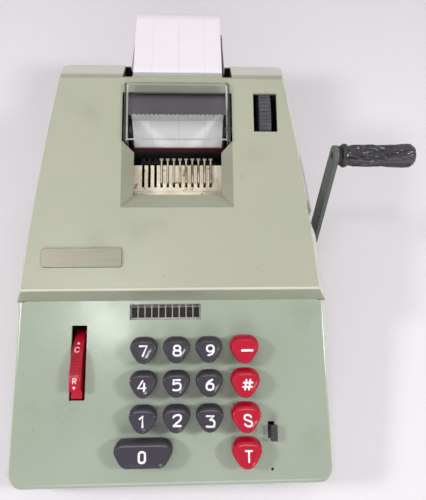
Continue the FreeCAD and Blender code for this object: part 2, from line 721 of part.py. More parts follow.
def rear_hood():
    """The rear hood with the print window, the wheel slot, the paper slot and the crank's pocket."""
    outer = hood_form("0")
    rounded(outer, "rear_corner", lambda e: is_upright(e) and e.CenterOfMass.y > size(REAR_TOP_Y) + 15)
    lip_limit = size(SEAM_Y) + 1
    rounded(outer, "hood_edge", lambda e: on_slope(e, SEAM_Y, LIP_TOP, "hood_tilt")
            and e.CenterOfMass.y < lip_limit)
    block = common(outer, box(("hub_pocket_x - pocket_wall", "body_width"),
                              about("crank_y", "hub_pocket_width / 2 + pocket_wall"),
                              ("crank_z - hub_radius - 5 - pocket_wall", "200")))
    frame = moved(common(funnel("1.5", "0"), box(("-100", "100"), ("0", "150"), ("-funnel_depth", "-1"))), "hood")
    shell = cut(outer, [hood_form("cover_wall")])
    posts = [
        rod("z", "post_radius + 1", PAN_TOP, "60", f"{side} * screw_x_rear", f"{REAR_Y} - 7.8") for side in (-1, 1)
    ]
    drills = [
        rod("z", "screw_radius", f"{PAN_TOP} - 1", "screw_top", f"{side} * screw_x_rear", f"{REAR_Y} - 7.8")
        for side in (-1, 1)
    ]
    solid = joined([shell, block, frame] + posts)
    front_gate = box(about("0", "body_width / 2 - cover_wall"), ("lip_row - 30", "lip_row + 3.5"), ("-90", "seam_gap"))
    window = box(WINDOW_X, ("window_mid - 0.01", "window_high"), ("-4", "6"))
    throat = funnel("0", "4")
    mouth = box(WINDOW_X, ("window_low", "window_mid + 4"), ("-0.01", "6"))
    wheel_slot = box(about("wheel_slot_x", "wheel_slot_width / 2"), ("wheel_slot_low", "wheel_slot_high"), ("-4", "6"))
    paper_slot = box(about("print_x", "paper_slot_width / 2"), ("paper_slot_y", "paper_slot_y + paper_slot_depth"),
                     (f"{BEVEL_Z} - 2", f"{REAR_TOP_Z} + 5"))
    arm_slots = [
        box(about(f"print_x {side} (roll_arm_reach + arm_slot_out)", "arm_slot_width / 2"),
            (f"{REAR_TOP_Y} + 2.5", f"{REAR_Y} + 5"), ("arm_slot_low", "200"))
        for side in "-+"
    ]
    hub_pocket = box(("hub_pocket_x", "body_width"), NOTCH_Y, ("crank_z - hub_radius - 5", "200"))
    shaft_hole = rod("x", "main_shaft_radius + 0.4", "hub_pocket_x - 5", "hub_pocket_x + 5", "crank_y", "crank_z")
    tools = [moved(front_gate, "panel"), moved(joined([window, mouth, throat]), "hood"), moved(wheel_slot, "hood")]
    return cut(solid, tools + [paper_slot, hub_pocket, shaft_hole] + arm_slots + drills)


ARM_LEFT = "(print_x - roll_arm_reach)"
ARM_RIGHT = "(print_x + roll_arm_reach)"


# Base

def base_pan():
    """The sheet pan that carries the frames, the covers and the feet."""
    def form(inset, low, high):
        body = new_body()
        near = f"(body_width / 2 - pan_inset - {inset})"
        far = f"(foot_rear / 2 - pan_inset - {inset})"
        front = f"({FRONT_Y} + pan_inset + {inset})"
        rear = f"({REAR_Y} - pan_inset - {inset})"
        bulge = f"(({near} + {far}) / 2 + side_bulge - 0.2)"
        middle = f"(({SEAM_Y} + {rear}) / 2)"
        spots = [(f"-{near}", front), (near, front), (near, SEAM_Y), (far, rear), (f"-{far}", rear), (f"-{near}", SEAM_Y)]
        sketch = outline(body, "plan", spots, low, bulges={2: (bulge, middle), 4: (f"-{bulge}", middle)})
        pad(body, sketch, f"({high}) - ({low})")
        rounded(body, f"front_corner - pan_inset - {inset}",
                lambda e: is_upright(e) and abs(e.CenterOfMass.y - size(front)) < 1)
        return body

    drills = [
        rod("z", "screw_radius", "pan_floor - 1", f"{PAN_TOP} + 1", x, y) for x, y in SCREW_SPOTS
    ]
    return cut(form("0", "pan_floor", "pan_rim"), [form("pan_thick", PAN_TOP, "pan_rim + 1")] + drills)


SCREW_SPOTS = [
    ("-screw_x_front", "screw_y_front"),
    ("screw_x_front", "screw_y_front"),
    ("-screw_x_rear", f"{REAR_Y} - 7.8"),
    ("screw_x_rear", f"{REAR_Y} - 7.8"),
]


def cover_screws():
    """Four round-headed screws that hold the covers down on the pan."""
    screws = []
    for x, y in SCREW_SPOTS:
        head = rod("z", "2 * screw_radius", "pan_floor - 2", "pan_floor", x, y)
        shank = rod("z", "screw_radius", "pan_floor - 1", "screw_top", x, y)
        slot = box(about(x, "0.4"), about(y, "2 * screw_radius + 1"), ("pan_floor - 2.5", "pan_floor - 1.2"))
        screws.append(cut(joined([head, shank]), [slot]))
    return together(screws)


def rubber_feet():
    """Four turned rubber feet under the pan."""
    spots = [
        (f"{side} * (body_width / 2 - pan_inset - foot_inset)", f"{FRONT_Y} + pan_inset + foot_inset")
        for side in (-1, 1)
    ] + [
        (f"{side} * (foot_rear / 2 - pan_inset - foot_inset + 2)", f"{REAR_Y} - pan_inset - foot_inset")
        for side in (-1, 1)
    ]
    feet = []
    for x, y in spots:
        body = new_body()
        ring_sketch = ring(body, "plan", "foot_radius", (x, y))
        pad(body, ring_sketch, "pan_floor")
        rounded(body, "1", lambda e: e.CenterOfMass.z < 0.1)
        feet.append(body)
    return together(feet)


def side_frame(low):
    """One of the two upright plates that carry the mechanism."""
    body = new_body()
    spots = [
        ("rail_y - 12", PAN_TOP), ("rail_y - 12", "rail_z + 6"), ("rail_y - 5", "rail_z + 6"),
        ("rail_y - 3", "deck_z - 18.5"), ("register_y - 16", "deck_z - 18.5"), ("register_y - 10", "deck_z"),
        ("platen_y - 18", "deck_z"), ("platen_y - 14", "platen_z + 14"), ("tie_y - 12", "tie_z + 8"),
        ("tie_y + 6", "tie_z + 8"), ("tie_y + 6", PAN_TOP),
    ]
    pad(body, outline(body, "side", spots, low), "frame_thick")
    ends = (f"{low} - 1", f"{low} + frame_thick + 1")
    bores = [
        rod("x", radius, *ends, y, z) for radius, y, z in (
            ("main_shaft_radius + shaft_clearance", "crank_y", "crank_z"),
            ("platen_shaft_radius + shaft_clearance", "platen_y", "platen_z"),
            ("register_shaft_radius + shaft_clearance", "register_y", "register_z"),
            ("feed_shaft_radius + shaft_clearance", FEED_Y, FEED_Z),
            ("hook_rail_radius + shaft_clearance", "type_y", "hook_z"),
            ("type_shaft_radius", "type_y", "type_z"),
            ("rail_radius", "rail_y - rail_gap / 2", "rail_z"),
            ("rail_radius", "rail_y + rail_gap / 2", "rail_z"),
            ("tie_radius", "tie_y", "tie_z"),
            ("tie_radius", "rail_y", "tie_low"),
            ("tie_radius", "tie_y - 14", "tie_low"),
        )
    ]
    bores.append(rod("x", "14", *ends, "platen_y - 22", "tie_low + 26"))
    return cut(body, bores)


FEED_Y = "(platen_y - 12)"
FEED_Z = "(platen_z - 18)"
INSIDE = ("frame_left", "frame_right + frame_thick")


def tie_rods():
    """Three rods that hold the frames together."""
    spots = (("tie_y", "tie_z"), ("rail_y", "tie_low"), ("tie_y - 14", "tie_low"))
    return together([rod("x", "tie_radius", *INSIDE, y, z) for y, z in spots])


def carriage_rails():
    """Two rails for the pin carriage."""
    return together([
        rod("x", "rail_radius", *INSIDE, f"rail_y {side} rail_gap / 2", "rail_z") for side in "-+"
    ])


# Keyboard

def key_frame():
    """Two guide plates and four posts that hang under the keyboard panel."""
    plates = [
        box(("guide_left", "guide_right"), ("guide_front", "guide_rear"), (f"-{depth}", f"-{depth} + guide_thick"))
        for depth in ("guide_upper", "guide_lower")
    ]
    posts = [
        rod("z", "post_radius", "-guide_lower - 1.5", "-cover_wall", x, along)
        for x in ("guide_left + 4", "guide_right - 4") for along in ("guide_front + 4", "guide_rear - 4")
    ]
    return cut(joined(plates + posts), stem_holes("stem_clearance", "-guide_lower - 2", "-guide_upper + 4"))


def triangle(x, apex, rear, corner):
    """Outline of a cap that points at the operator, with rounded corners."""
    half = f"(({rear} - {apex}) * tan(30))"
    run = f"({corner} * cos(30))"
    climb = f"({corner} * 1.5)"
    width = f"({half} - {corner} / tan(30))"
    spots = [
        (f"{x} + {run}", f"{apex} + {climb}"), (f"{x} + {half} - {run}", f"{rear} - {climb}"),
        (f"{x} + {width}", rear), (f"{x} - {width}", rear),
        (f"{x} - {half} + {run}", f"{rear} - {climb}"), (f"{x} - {run}", f"{apex} + {climb}"),
    ]
    bulges = {
        1: (f"{x} + {half} - {run}", f"{rear} - {corner} / 2"),
        3: (f"{x} - {half} + {run}", f"{rear} - {corner} / 2"),
        5: (x, f"{apex} + {corner}"),
    }
    return spots, bulges


def trapezoid(x, front, rear, half, corner):
    """Outline of the wide cap, with rounded corners."""
    run = f"({corner} * cos(30))"
    climb = f"({corner} * 1.5)"
    width = f"({half} - {corner} / tan(30))"
    narrow = f"({half} - ({rear} - {front}) * tan(30))"
    near = f"({narrow} - {corner} * tan(30))"
    flank = f"({narrow} + {corner} * tan(30) / 2)"
    spots = [
        (f"{x} + {near}", front), (f"{x} + {flank}", f"{front} + {corner} / 2"),
        (f"{x} + {half} - {run}", f"{rear} - {climb}"), (f"{x} + {width}", rear),
        (f"{x} - {width}", rear), (f"{x} - {half} + {run}", f"{rear} - {climb}"),
        (f"{x} - {flank}", f"{front} + {corner} / 2"), (f"{x} - {near}", front),
    ]
    nook = f"({near} + {corner} / 2)"
    bulges = {
        0: (f"{x} + {nook}", f"{front} + {corner} * (1 - cos(30))"),
        2: (f"{x} + {half} - {run}", f"{rear} - {corner} / 2"),
        4: (f"{x} - {half} + {run}", f"{rear} - {corner} / 2"),
        6: (f"{x} - {nook}", f"{front} + {corner} * (1 - cos(30))"),
    }
    return spots, bulges


def key(name):
    """A cap moulded on its stem, in the panel frame: foot, shoulder and top face of the cap are lofted."""
    x, middle = KEYS[name]
    x = f"({x})"
    scale = "function_scale" if name in FUNCTION_KEYS else "1"
    depth = "zero_depth" if name == "key_0" else f"({scale} * (cap_side * cos(30) - cap_corner))"
    rear = f"({middle} + {depth} / 2 - cap_ahead)"
    body = new_body()
    sections = []
    for flank, back, corner, height in (
        ("cap_draft", "cap_back_draft", "foot_corner", "cap_bottom"),
        ("0", "0", "cap_corner", "cap_top - cap_edge"),
        ("(-cap_edge)", "(-cap_edge)", "(cap_corner - cap_edge / 2)", "cap_top"),
    ):
        if name == "key_0":
            half = f"(zero_width / 2 + {flank} / cos(30) + {back} * tan(30))"
            front = f"({rear} - {depth} - {flank})"
            spots, bulges = trapezoid(x, front, f"({rear} + {back})", half, corner)
        else:
            apex = f"({rear} - {scale} * cap_side * cos(30) - 2 * {flank})"
            spots, bulges = triangle(x, apex, f"({rear} + {back})", corner)
        sections.append(outline(body, "plan", spots, height, bulges=bulges))
    loft(body, sections[0], sections[1:])
    stem = box(about(x, "stem_width / 2"), about(middle, "stem_thick / 2"), ("-stem_length", "cap_bottom + 1"))
    return joined([body, stem])


FUNCTION_KEYS = ("key_minus", "key_nonadd", "key_subtotal", "key_total")


# Indicator, rocker and slide lever

def indicator_lens():
    """The clear window over the column indicator, with a flange under the panel."""
    low, high = INDICATOR_SPAN
    window = box(about("indicator_x", f"{INDICATOR_HALF} - 0.15"), (f"{low} + 0.15", f"{high} - 0.15"),
                 ("-cover_wall - 0.5", "0.4"))
    flange = box(about("indicator_x", f"{INDICATOR_HALF} + 2"), (f"{low} - 1.5", f"{high} + 1.5"),
                 ("-cover_wall - 0.8", "-cover_wall"))
    return joined([window, flange])


def indicator_bars():
    """The white frame with ten cells under the clear window."""
    low, high = INDICATOR_SPAN
    plate = box(about("indicator_x", f"{INDICATOR_HALF} + 2"), (f"{low} - 1.5", f"{high} + 1.5"),
                ("-cover_wall - 1.4", "-cover_wall - 0.8"))
    cells = [
        box(about(f"indicator_x + ({number} - 4.5) * indicator_cell", "(indicator_cell - indicator_bar) / 2"),
            (f"{low} + 0.8", f"{high} - 1.6"), ("-cover_wall - 2", "0")) for number in range(10)
    ]
    return cut(plate, cells)


def pin_carriage():
    """The sliding carriage whose pins store the digits; it runs on the two rails."""
    low, high = "carriage_left", "carriage_left + carriage_width"
    block = box((low, high), about("rail_y", "rail_gap / 2 + 4"), ("rail_z - 8", "rail_z + 8"))
    bores = [
        rod("x", "rail_radius + shaft_clearance", f"{low} - 1", f"{high} + 1", f"rail_y {side} rail_gap / 2", "rail_z")
        for side in "-+"
    ]
    pins = [
        box(about(f"{high} - 3 - {column} * type_pitch", "0.6"), about(f"rail_y - 8 + {row} * 2", "0.6"),
            ("rail_z + 7", "rail_z + 9.2")) for column in range(9) for row in range(9)
    ]
    return joined([cut(block, bores)] + pins)


STRIP_LOW = "(-cover_wall - 2.9)"
STRIP_FOOT = f"({panel_z('indicator_low + 0.5', STRIP_LOW)})"


def indicator_strip():
    """The dark strip under the indicator's cells, on a post that stands on the pin carriage."""
    end = "(carriage_left + carriage_width - 0.5)"
    strip = box(("indicator_x - 22.5", end), ("indicator_low - 0.5", "indicator_low + indicator_depth + 0.4"),
                (STRIP_LOW, f"{STRIP_LOW} + 0.9"))
    post = box((f"{end} - 1.6", end), about("rail_y - 3.5", "1.5"), ("rail_z + 8", f"{STRIP_FOOT} + 0.75"))
    return joined([moved(strip, "panel"), post])


def rocker():
    """The correction and repeat rocker, a sector that swings on a pin below the panel."""
    body = new_body()
    turn_y = "rocker_pivot_y"
    turn_h = "-rocker_pivot_depth"
    def rim(angle, radius):
        return (f"({turn_y} + {radius} * sin({angle}))", f"({turn_h} + {radius} * cos({angle}))")
    spots = [
        (f"{turn_y} - 10", "0.9"), (rim("-rocker_front", "rocker_radius")[0], "0.9"),
        rim("-rocker_front", "rocker_radius"), rim("rocker_rear", "rocker_radius"),
        rim("rocker_rear", "(rocker_radius - 7)"), (f"{turn_y} + 5", f"{turn_h} - 3"),
        (f"{turn_y} - 5", f"{turn_h} - 3"),
    ]
    sketch = outline(body, "side", spots, "rocker_x", bulges={2: rim("(rocker_rear - rocker_front) / 2", "rocker_radius")})
    pad(body, sketch, "rocker_thick", "Symmetric")
    rounded(body, "0.8", lambda e: abs(e.CenterOfMass.z - size("rocker_radius - rocker_pivot_depth - 4")) < 6
            and not is_crosswise(e) and e.Length > 20)
    return cut(body, [rod("x", "rocker_pin + shaft_clearance", "rocker_x - 9", "rocker_x + 9", turn_y, turn_h)])


def rocker_bracket():
    """The bracket on the pan that carries the rocker's pin."""
    y = panel_y("rocker_pivot_y", "-rocker_pivot_depth")
    z = panel_z("rocker_pivot_y", "-rocker_pivot_depth")
    reach = "(rocker_thick / 2 + 1.8)"
    cheeks = [
        box(about(f"rocker_x {side} ({reach} - 0.75)", "0.75"), about(y, "5"), (PAN_TOP, f"{z} + 5")) for side in "-+"
    ]
    foot = box(about("rocker_x", reach), about(y, "8"), (PAN_TOP, f"{PAN_TOP} + 1.5"))
    pin = rod("x", "rocker_pin", *about("rocker_x", reach), y, z)
    return joined(cheeks + [foot, pin])


def slide_lever():
    """The small ribbed lever that slides beside the keys."""
    low = "(lever_slot_low + 0.4)"
    high = f"({low} + 5)"
    blade = box(about("lever_x", "1.3"), (low, high), ("-12", "2"))
    foot = box(about("lever_x", "4"), (f"{low} - 2", f"{high} + 2"), ("-cover_wall - 1.6", "-cover_wall - 0.2"))
    knob = box(("lever_x - 0.6", "lever_x + 2.9"), (f"{low} - 1.6", f"{high} + 2.2"), ("1", "lever_height"))
    ribs = [
        box(("lever_x - 2", "lever_x + 4"), (f"{low} - 0.6 + {number} * 1.5", f"{low} + 0.1 + {number} * 1.5"),
            ("lever_height - 0.6", "lever_height + 1")) for number in range(5)
    ]
    return cut(joined([blade, foot, knob]), ribs)


# Crank

def crank_arm():
    """The flat arm of the crank, in its own leaning frame."""
    body = new_body()
    wide, narrow = "arm_hub_end", "arm_grip_end"
    spots = [(f"-{wide}", "0"), (wide, "0"), (narrow, "crank_reach"), (f"-{narrow}", "crank_reach")]
    bulges = {0: ("0", f"-{wide}"), 2: ("0", f"crank_reach + {narrow}")}
    pad(body, outline(body, "side", spots, "0", bulges=bulges), "arm_thick")
    rounded(body, "0.6", lambda e: e.Length > 3)
    bores = [
        rod("x", "main_shaft_radius", "-1", "arm_thick + 1", "0", "0"),
        rod("x", "spindle_radius", "-1", "arm_thick + 1", "0", "crank_reach"),
    ]
    return cut(body, bores)


def crank_hub():
    """The round hub between the hood and the arm."""
    ends = ("hub_inner", "arm_inner")
    return cut(rod("x", "hub_radius", *ends, "crank_y", "crank_z"),
               [rod("x", "main_shaft_radius", "hub_inner - 1", "arm_inner + 1", "crank_y", "crank_z")])


def main_shaft():
    """The shaft that the crank turns, with a domed outer end."""
    body = new_body()
    start, end = "(frame_left - 3)", "(arm_inner + arm_thick + 1.2)"
    sketch = ring(body, "side", "main_shaft_radius", ("crank_y", "crank_z"), start)
    pad(body, sketch, f"{end} - {start}")
    rounded(body, "0.8", lambda e: e.CenterOfMass.x > 0)
    return body


def drive_cams():
    """Two cams on the main shaft, beside the frames."""
    cams = []
    for low in ("frame_left + frame_thick + 2", "frame_right - 5"):
        body = new_body()
        spots = [
            ("crank_y - 8", "crank_z"), ("crank_y - 4", "crank_z - 9"), ("crank_y + 6", "crank_z - 11.5"),
            ("crank_y + 12", "crank_z - 3"), ("crank_y + 7", "crank_z + 6"), ("crank_y - 2", "crank_z + 9"),
        ]
        pad(body, outline(body, "side", spots, low), "3")
        rounded(body, "2.5", lambda e: is_crosswise(e))
        cams.append(cut(body, [rod("x", "main_shaft_radius", f"{low} - 1", f"{low} + 4", "crank_y", "crank_z")]))
    return together(cams)


def grip_spindle():
    """The shouldered pin that the grip turns on, in the arm's frame."""
    pin = rod("x", "spindle_radius", "0", "arm_thick + 1.9 + grip_length - 6", "0", "crank_reach")
    collar = rod("x", "arm_grip_end - 0.4", "arm_thick", "arm_thick + 1.6", "0", "crank_reach")
    return joined([pin, collar])


def crank_grip():
    """The turned grip with a slight waist and a domed end, in the arm's frame."""
    body = new_body()
    start = "(arm_thick + 1.9)"
    end = f"({start} + grip_length)"
    bore = "(spindle_radius + shaft_clearance)"
    bore_end = f"({end} - 5.5)"
    spots = [
        (start, bore), (start, "grip_radius - 1.2"), (f"{start} + 1.2", "grip_radius - 0.2"),
        (f"{end} - 7", "grip_radius"), (end, "0"), (bore_end, "0"), (bore_end, bore),
    ]
    bulges = {
        2: (f"({start} + {end}) / 2 - 2", "grip_waist"),
        3: (f"{end} - 7 + 7 * sin(45)", "grip_radius * cos(45)"),
    }
    sketch = outline(body, "front", spots, bulges=bulges)
    turned(body, sketch, "H_Axis")
    shell = moved_up(body, "crank_reach")
    return shell


def moved_up(body, rise):
    """A body raised by a length inside its frame."""
    drive(body, "Placement.Base.z", rise)
    return together([body])


# Register, type bars and hooks

TYPE_NUMBERS = range(12)
TYPE_MIDDLE = "(type_first + 5.5 * type_pitch)"


def type_x(number):
    """Middle of one type bar, rack or register wheel."""
    return f"(type_first + {number} * type_pitch)"


def plates(spots, thick, numbers=TYPE_NUMBERS, bulges=None):
    """Equal plates in the side view, one at each of the given type bar places."""
    items = []
    for number in numbers:
        body = new_body()
        pad(body, outline(body, "side", spots, type_x(number), bulges=bulges), thick, "Symmetric")
        items.append(body)
    return items


def actuator_racks():
    """Toothed racks under the register wheels, joined by a cross bar."""
    low, high = "(rack_z - 4)", "(rack_z + 3)"
    front, rear = "(register_y - 11.5)", "(register_y + 30)"
    spots = [(front, low), (rear, low), (rear, high)]
    for number in reversed(range(15)):
        tooth = f"({front} + 4 + {number} * 2.4)"
        spots += [(f"{tooth} + 1.2", high), (f"{tooth} + 0.6", f"{high} + 1.1")]
    spots.append((front, high))
    bar = box(about(TYPE_MIDDLE, "5.5 * type_pitch + 2"), (f"{rear} - 5", f"{rear} - 1"), (f"{low} - 2.5", f"{low} + 1"))
    return joined(plates(spots, "1.6") + [bar])


def register_wheels():
    """Twelve ribbed register wheels on their shaft."""
    wheels = []
    for number in TYPE_NUMBERS:
        body = new_body()
        spots = []
        for step in range(20):
            reach = "register_radius" if step % 2 == 0 else "(register_radius - 1)"
            spots.append((f"register_y + {reach} * sin({step * 18})", f"register_z + {reach} * cos({step * 18})"))
        pad(body, outline(body, "side", spots, type_x(number)), "2.4", "Symmetric")
        wheels.append(body)
    bore = rod("x", "register_shaft_radius", "frame_left", "frame_right", "register_y", "register_z")
    return together([cut(wheel, [bore]) for wheel in wheels])


def register_shaft():
    """The shaft of the register wheels, with a collar at each end."""
    shaft = rod("x", "register_shaft_radius", "frame_left - 2", "frame_right + 4", "register_y", "register_z")
    collars = [
        rod("x", "register_shaft_radius + 2", *limits, "register_y", "register_z")
        for limits in (("frame_left + frame_thick + 0.4", "frame_left + frame_thick + 3"),
                       ("frame_right - 3", "frame_right - 0.4"))
    ]
    return joined([shaft] + collars)


def type_bars():
    """Twelve type bars with their heads below the print window, swinging together on the type shaft."""
    y, z = "type_y", "type_z"
    spots = [
        (f"{y} - 4", f"{z} - 4"), (f"{y} + 4", f"{z} - 4"), (f"{y} + 13", f"{z} + 4"), (f"{y} + 15", f"{z} + 38"),
        (f"{y} + 16.6", f"{z} + 39"), (f"{y} + 16.6", f"{z} + 48.5"), (f"{y} + 12.8", f"{z} + 48.5"),
        (f"{y} + 10.5", f"{z} + 38"), (f"{y} + 9.5", f"{z} + 10"), (f"{y} - 4", f"{z} + 4"),
    ]
    hub = rod("x", "type_shaft_radius + 2.5", type_x(0) + " - 3", type_x(11) + " + 3", y, z)
    bore = rod("x", "type_shaft_radius + shaft_clearance", type_x(0) + " - 5", type_x(11) + " + 5", y, z)
    return cut(joined(plates(spots, "1.6") + [hub]), [bore])


def type_shaft():
    """The fixed shaft that the type bars swing on, with a spacer tube at each side."""
    shaft = rod("x", "type_shaft_radius", *INSIDE, "type_y", "type_z")
    collars = [
        rod("x", "type_shaft_radius + 2", low, high, "type_y", "type_z")
        for low, high in (("frame_left + frame_thick", type_x(0) + " - 3.3"), (type_x(11) + " + 3.3", "frame_right"))
    ]
    return joined([shaft] + collars)


def type_hooks():
    """Nine slender hooks on their rail, reaching over the comb to the ribbon."""
    y, z = "type_y", "hook_z"
    reach_y = hood_y("hook_reach", "-comb_depth + 1.6")
    reach_z = hood_z("hook_reach", "-comb_depth + 1.6")
    bend_y = hood_y("hook_reach - 15", "-comb_depth + 1.6")
    bend_z = hood_z("hook_reach - 15", "-comb_depth + 1.6")
    spots = [
        (f"{y} - 1.4", z), (f"{y} + 1.4", z), (f"{bend_y} + 1.2", f"{bend_z} - 1"), (reach_y, f"{reach_z} - 1"),
        (reach_y, reach_z), (f"{bend_y} - 1.2", bend_z),
    ]
    hooks = plates(spots, "0.9", range(3, 12))
    bars = [
        box(about(type_x(number), "1.2"), (f"{reach_y} - 1.2", reach_y), (f"{reach_z} - 0.9", reach_z))
        for number in range(3, 12)
    ]
    rail = rod("x", "hook_rail_radius", "frame_left - 1", "frame_right + 3", y, z)
    return joined(hooks + bars + [rail])


def type_comb():
    """The pale slotted comb below the print window, on two legs."""
    front, rear = "comb_front", "comb_front + comb_run"
    plate = box(about("print_x", "comb_half"), (front, rear), ("-comb_depth - 1.2", "-comb_depth"))
    slots = [
        box(about(type_x(number), "0.85"), (f"{front} + 2.6", f"{rear} + 0.1"), ("-comb_depth - 2", "-comb_depth + 1"))
        for number in TYPE_NUMBERS
    ]
    foot = hood_y("comb_front + 1", "-comb_depth")
    legs = [
        box(about(f"print_x {side} (comb_half - 1)", "1"), about(foot, "0.8"),
            ("deck_z + 1.5", hood_z("comb_front + 1", "-comb_depth - 0.6"))) for side in "-+"
    ]
    return joined([moved(cut(plate, slots), "hood")] + legs)


# Platen, paper and ribbon

def platen_roller():
    """The rubber-covered platen."""
    ends = ("print_x - platen_half", "print_x + platen_half")
    return cut(rod("x", "platen_radius", *ends, "platen_y", "platen_z"),
               [rod("x", "platen_shaft_radius", "print_x - 50", "print_x + 50", "platen_y", "platen_z")])


def platen_shaft():
    """The platen's shaft, long enough to carry the paper wheel."""
    return together([rod("x", "platen_shaft_radius", "frame_left - 3", "wheel_slot_x + wheel_thick / 2 + 1",
                         "platen_y", "platen_z")])


def paper_wheel():
    """The ribbed wheel that advances the paper by hand."""
    body = new_body()
    half = "wheel_thick / 2"
    spots = [
        ("platen_shaft_radius", f"-{half}"), ("wheel_radius - 1.6", f"-{half}"), ("wheel_radius", f"-{half} + 1.6"),
        ("wheel_radius", f"{half} - 1.6"), ("wheel_radius - 1.6", half), ("platen_shaft_radius", half),
    ]
    turned(body, outline(body, "plan", spots), "V_Axis")
    notch = outline(body, "front", [
        ("-0.55", "wheel_radius - 0.8"), ("0.55", "wheel_radius - 0.8"), ("0.55", "wheel_radius + 1"),
        ("-0.55", "wheel_radius + 1"),
    ])
    pocket(body, notch, "2 * wheel_thick")
    ribs = body.newObject("PartDesign::PolarPattern", "Ribs")
    ribs.Originals = [body.Tip]
    ribs.Axis = (next(f for f in body.Origin.OriginFeatures if f.Role == "Y_Axis"), [""])
    ribs.Angle = 360
    drive(ribs, "Occurrences", "wheel_teeth")
    body.Tip = ribs
    body.Placement = FreeCAD.Placement(V(0, 0, 0), FreeCAD.Rotation(V(0, 0, 1), -90))
    drive(body, "Placement.Base.x", "wheel_slot_x")
    drive(body, "Placement.Base.y", "platen_y")
    drive(body, "Placement.Base.z", "platen_z")
    return body


def feed_rollers():
    """The pressure roller under the platen: three covered lengths on one shaft."""
    shaft = rod("x", "feed_shaft_radius", "frame_left - 1", "frame_right + 3", FEED_Y, FEED_Z)
    lengths = [
        rod("x", "feed_radius", *about(f"print_x + {offset}", "7"), FEED_Y, FEED_Z) for offset in (-19, 0, 19)
    ]
    return joined([shaft] + lengths)


def wrap(angle, gap):
    """A place round the platen, at an angle from straight back and a gap off its surface."""
    reach = f"(platen_radius + {gap})"
    return f"(platen_y + {reach} * cos({angle}))", f"(platen_z + {reach} * sin({angle}))"


def along(spot, heading, length):
    """The place reached from a spot in a straight line."""
    return f"({spot[0]} + ({length}) * cos({heading}))", f"({spot[1]} + ({length}) * sin({heading}))"


def paper_strip():
    """The paper from the roll, round the platen and up to the torn edge in the window."""
    body = new_body()
    inner, outer = "0.1", "(0.1 + paper_thick)"
    faces = []
    for gap in (outer, inner):
        front = wrap("paper_front", gap)
        rear = wrap("paper_rear", gap)
        torn = along(front, "paper_front - 90", "paper_rise")
        bend = along(rear, "paper_rear + 90", "paper_climb")
        faces.append([torn, front, rear, bend])
    thick = "paper_thick"
    leave = "(roll_radius + 0.35)"
    under = (f"(roll_y + {leave} * sin(web_slope))", f"(roll_z + {leave} * cos(web_slope))")
    over = (f"({under[0]} + {thick} * sin(web_slope))", f"({under[1]} + {thick} * cos(web_slope))")
    corner = (f"({faces[1][3][0]} - 0.1)", f"({faces[1][3][1]} + {thick} + 0.2)")
    (torn, front, rear, bend), (torn_in, front_in, rear_in, bend_in) = faces
    spots = [torn, front, rear, bend, under, over, corner, rear_in, front_in, torn_in]
    bulges = {1: wrap("270", outer), 7: wrap("270", inner)}
    pad(body, outline(body, "side", spots, "print_x", bulges=bulges), "paper_width", "Symmetric")
    return body


def paper_roll():
    """The roll of paper, with a bore for its spindle."""
    ends = about("print_x", "paper_width / 2")
    return cut(rod("x", "roll_radius", *ends, "roll_y", "roll_z"),
               [rod("x", "roll_bore", "print_x - 40", "print_x + 40", "roll_y", "roll_z")])


def roll_spindle():
    """The spindle that the paper roll turns on."""
    core = rod("x", "roll_bore - shaft_clearance", *about("print_x", "paper_width / 2 + 0.3"), "roll_y", "roll_z")
    ends = rod("x", "roll_spindle_radius", f"{ARM_LEFT} - arm_sheet / 2 - 0.6", f"{ARM_RIGHT} + arm_sheet / 2 + 0.6",
               "roll_y", "roll_z")
    return joined([core, ends])


def roll_arms():
    """Two tapering sheet arms from the upper tie rod to the roll's spindle."""
    arms = []
    for x in (ARM_LEFT, ARM_RIGHT):
        body = new_body()
        spots = [
            ("tie_y - 5", "tie_z - 6"), ("tie_y + 3", "tie_z - 12"), ("roll_y - 1", "roll_z - 6"),
            ("roll_y + 6", "roll_z - 1"), ("roll_y + 3", "roll_z + 5.5"), ("tie_y + 14", "tie_z + 11"),
            ("tie_y - 5", "tie_z + 5"),
        ]
        pad(body, outline(body, "side", spots, x), "arm_sheet", "Symmetric")
        rounded(body, "3", is_crosswise)
        bores = [
            rod("x", "roll_spindle_radius", f"{x} - 2", f"{x} + 2", "roll_y", "roll_z"),
            rod("x", "tie_radius", f"{x} - 2", f"{x} + 2", "tie_y", "tie_z"),
        ]
        arms.append(cut(body, bores))
    return together(arms)


def paper_guide():
    """The curved sheet that leads the paper between the platen and the rear slot."""
    low = along(wrap("paper_rear", "2"), "paper_rear + 90", "4")
    high = along(wrap("paper_rear", "2"), "paper_rear + 90", "paper_climb - 8")
    low_out = along(wrap("paper_rear", "3"), "paper_rear + 90", "4")
    high_out = along(wrap("paper_rear", "3"), "paper_rear + 90", "paper_climb - 8")
    body = new_body()
    start = f"({ARM_LEFT} + arm_sheet / 2)"
    pad(body, outline(body, "side", [low, low_out, high_out, high], start), f"{ARM_RIGHT} - arm_sheet / 2 - {start}")
    return body


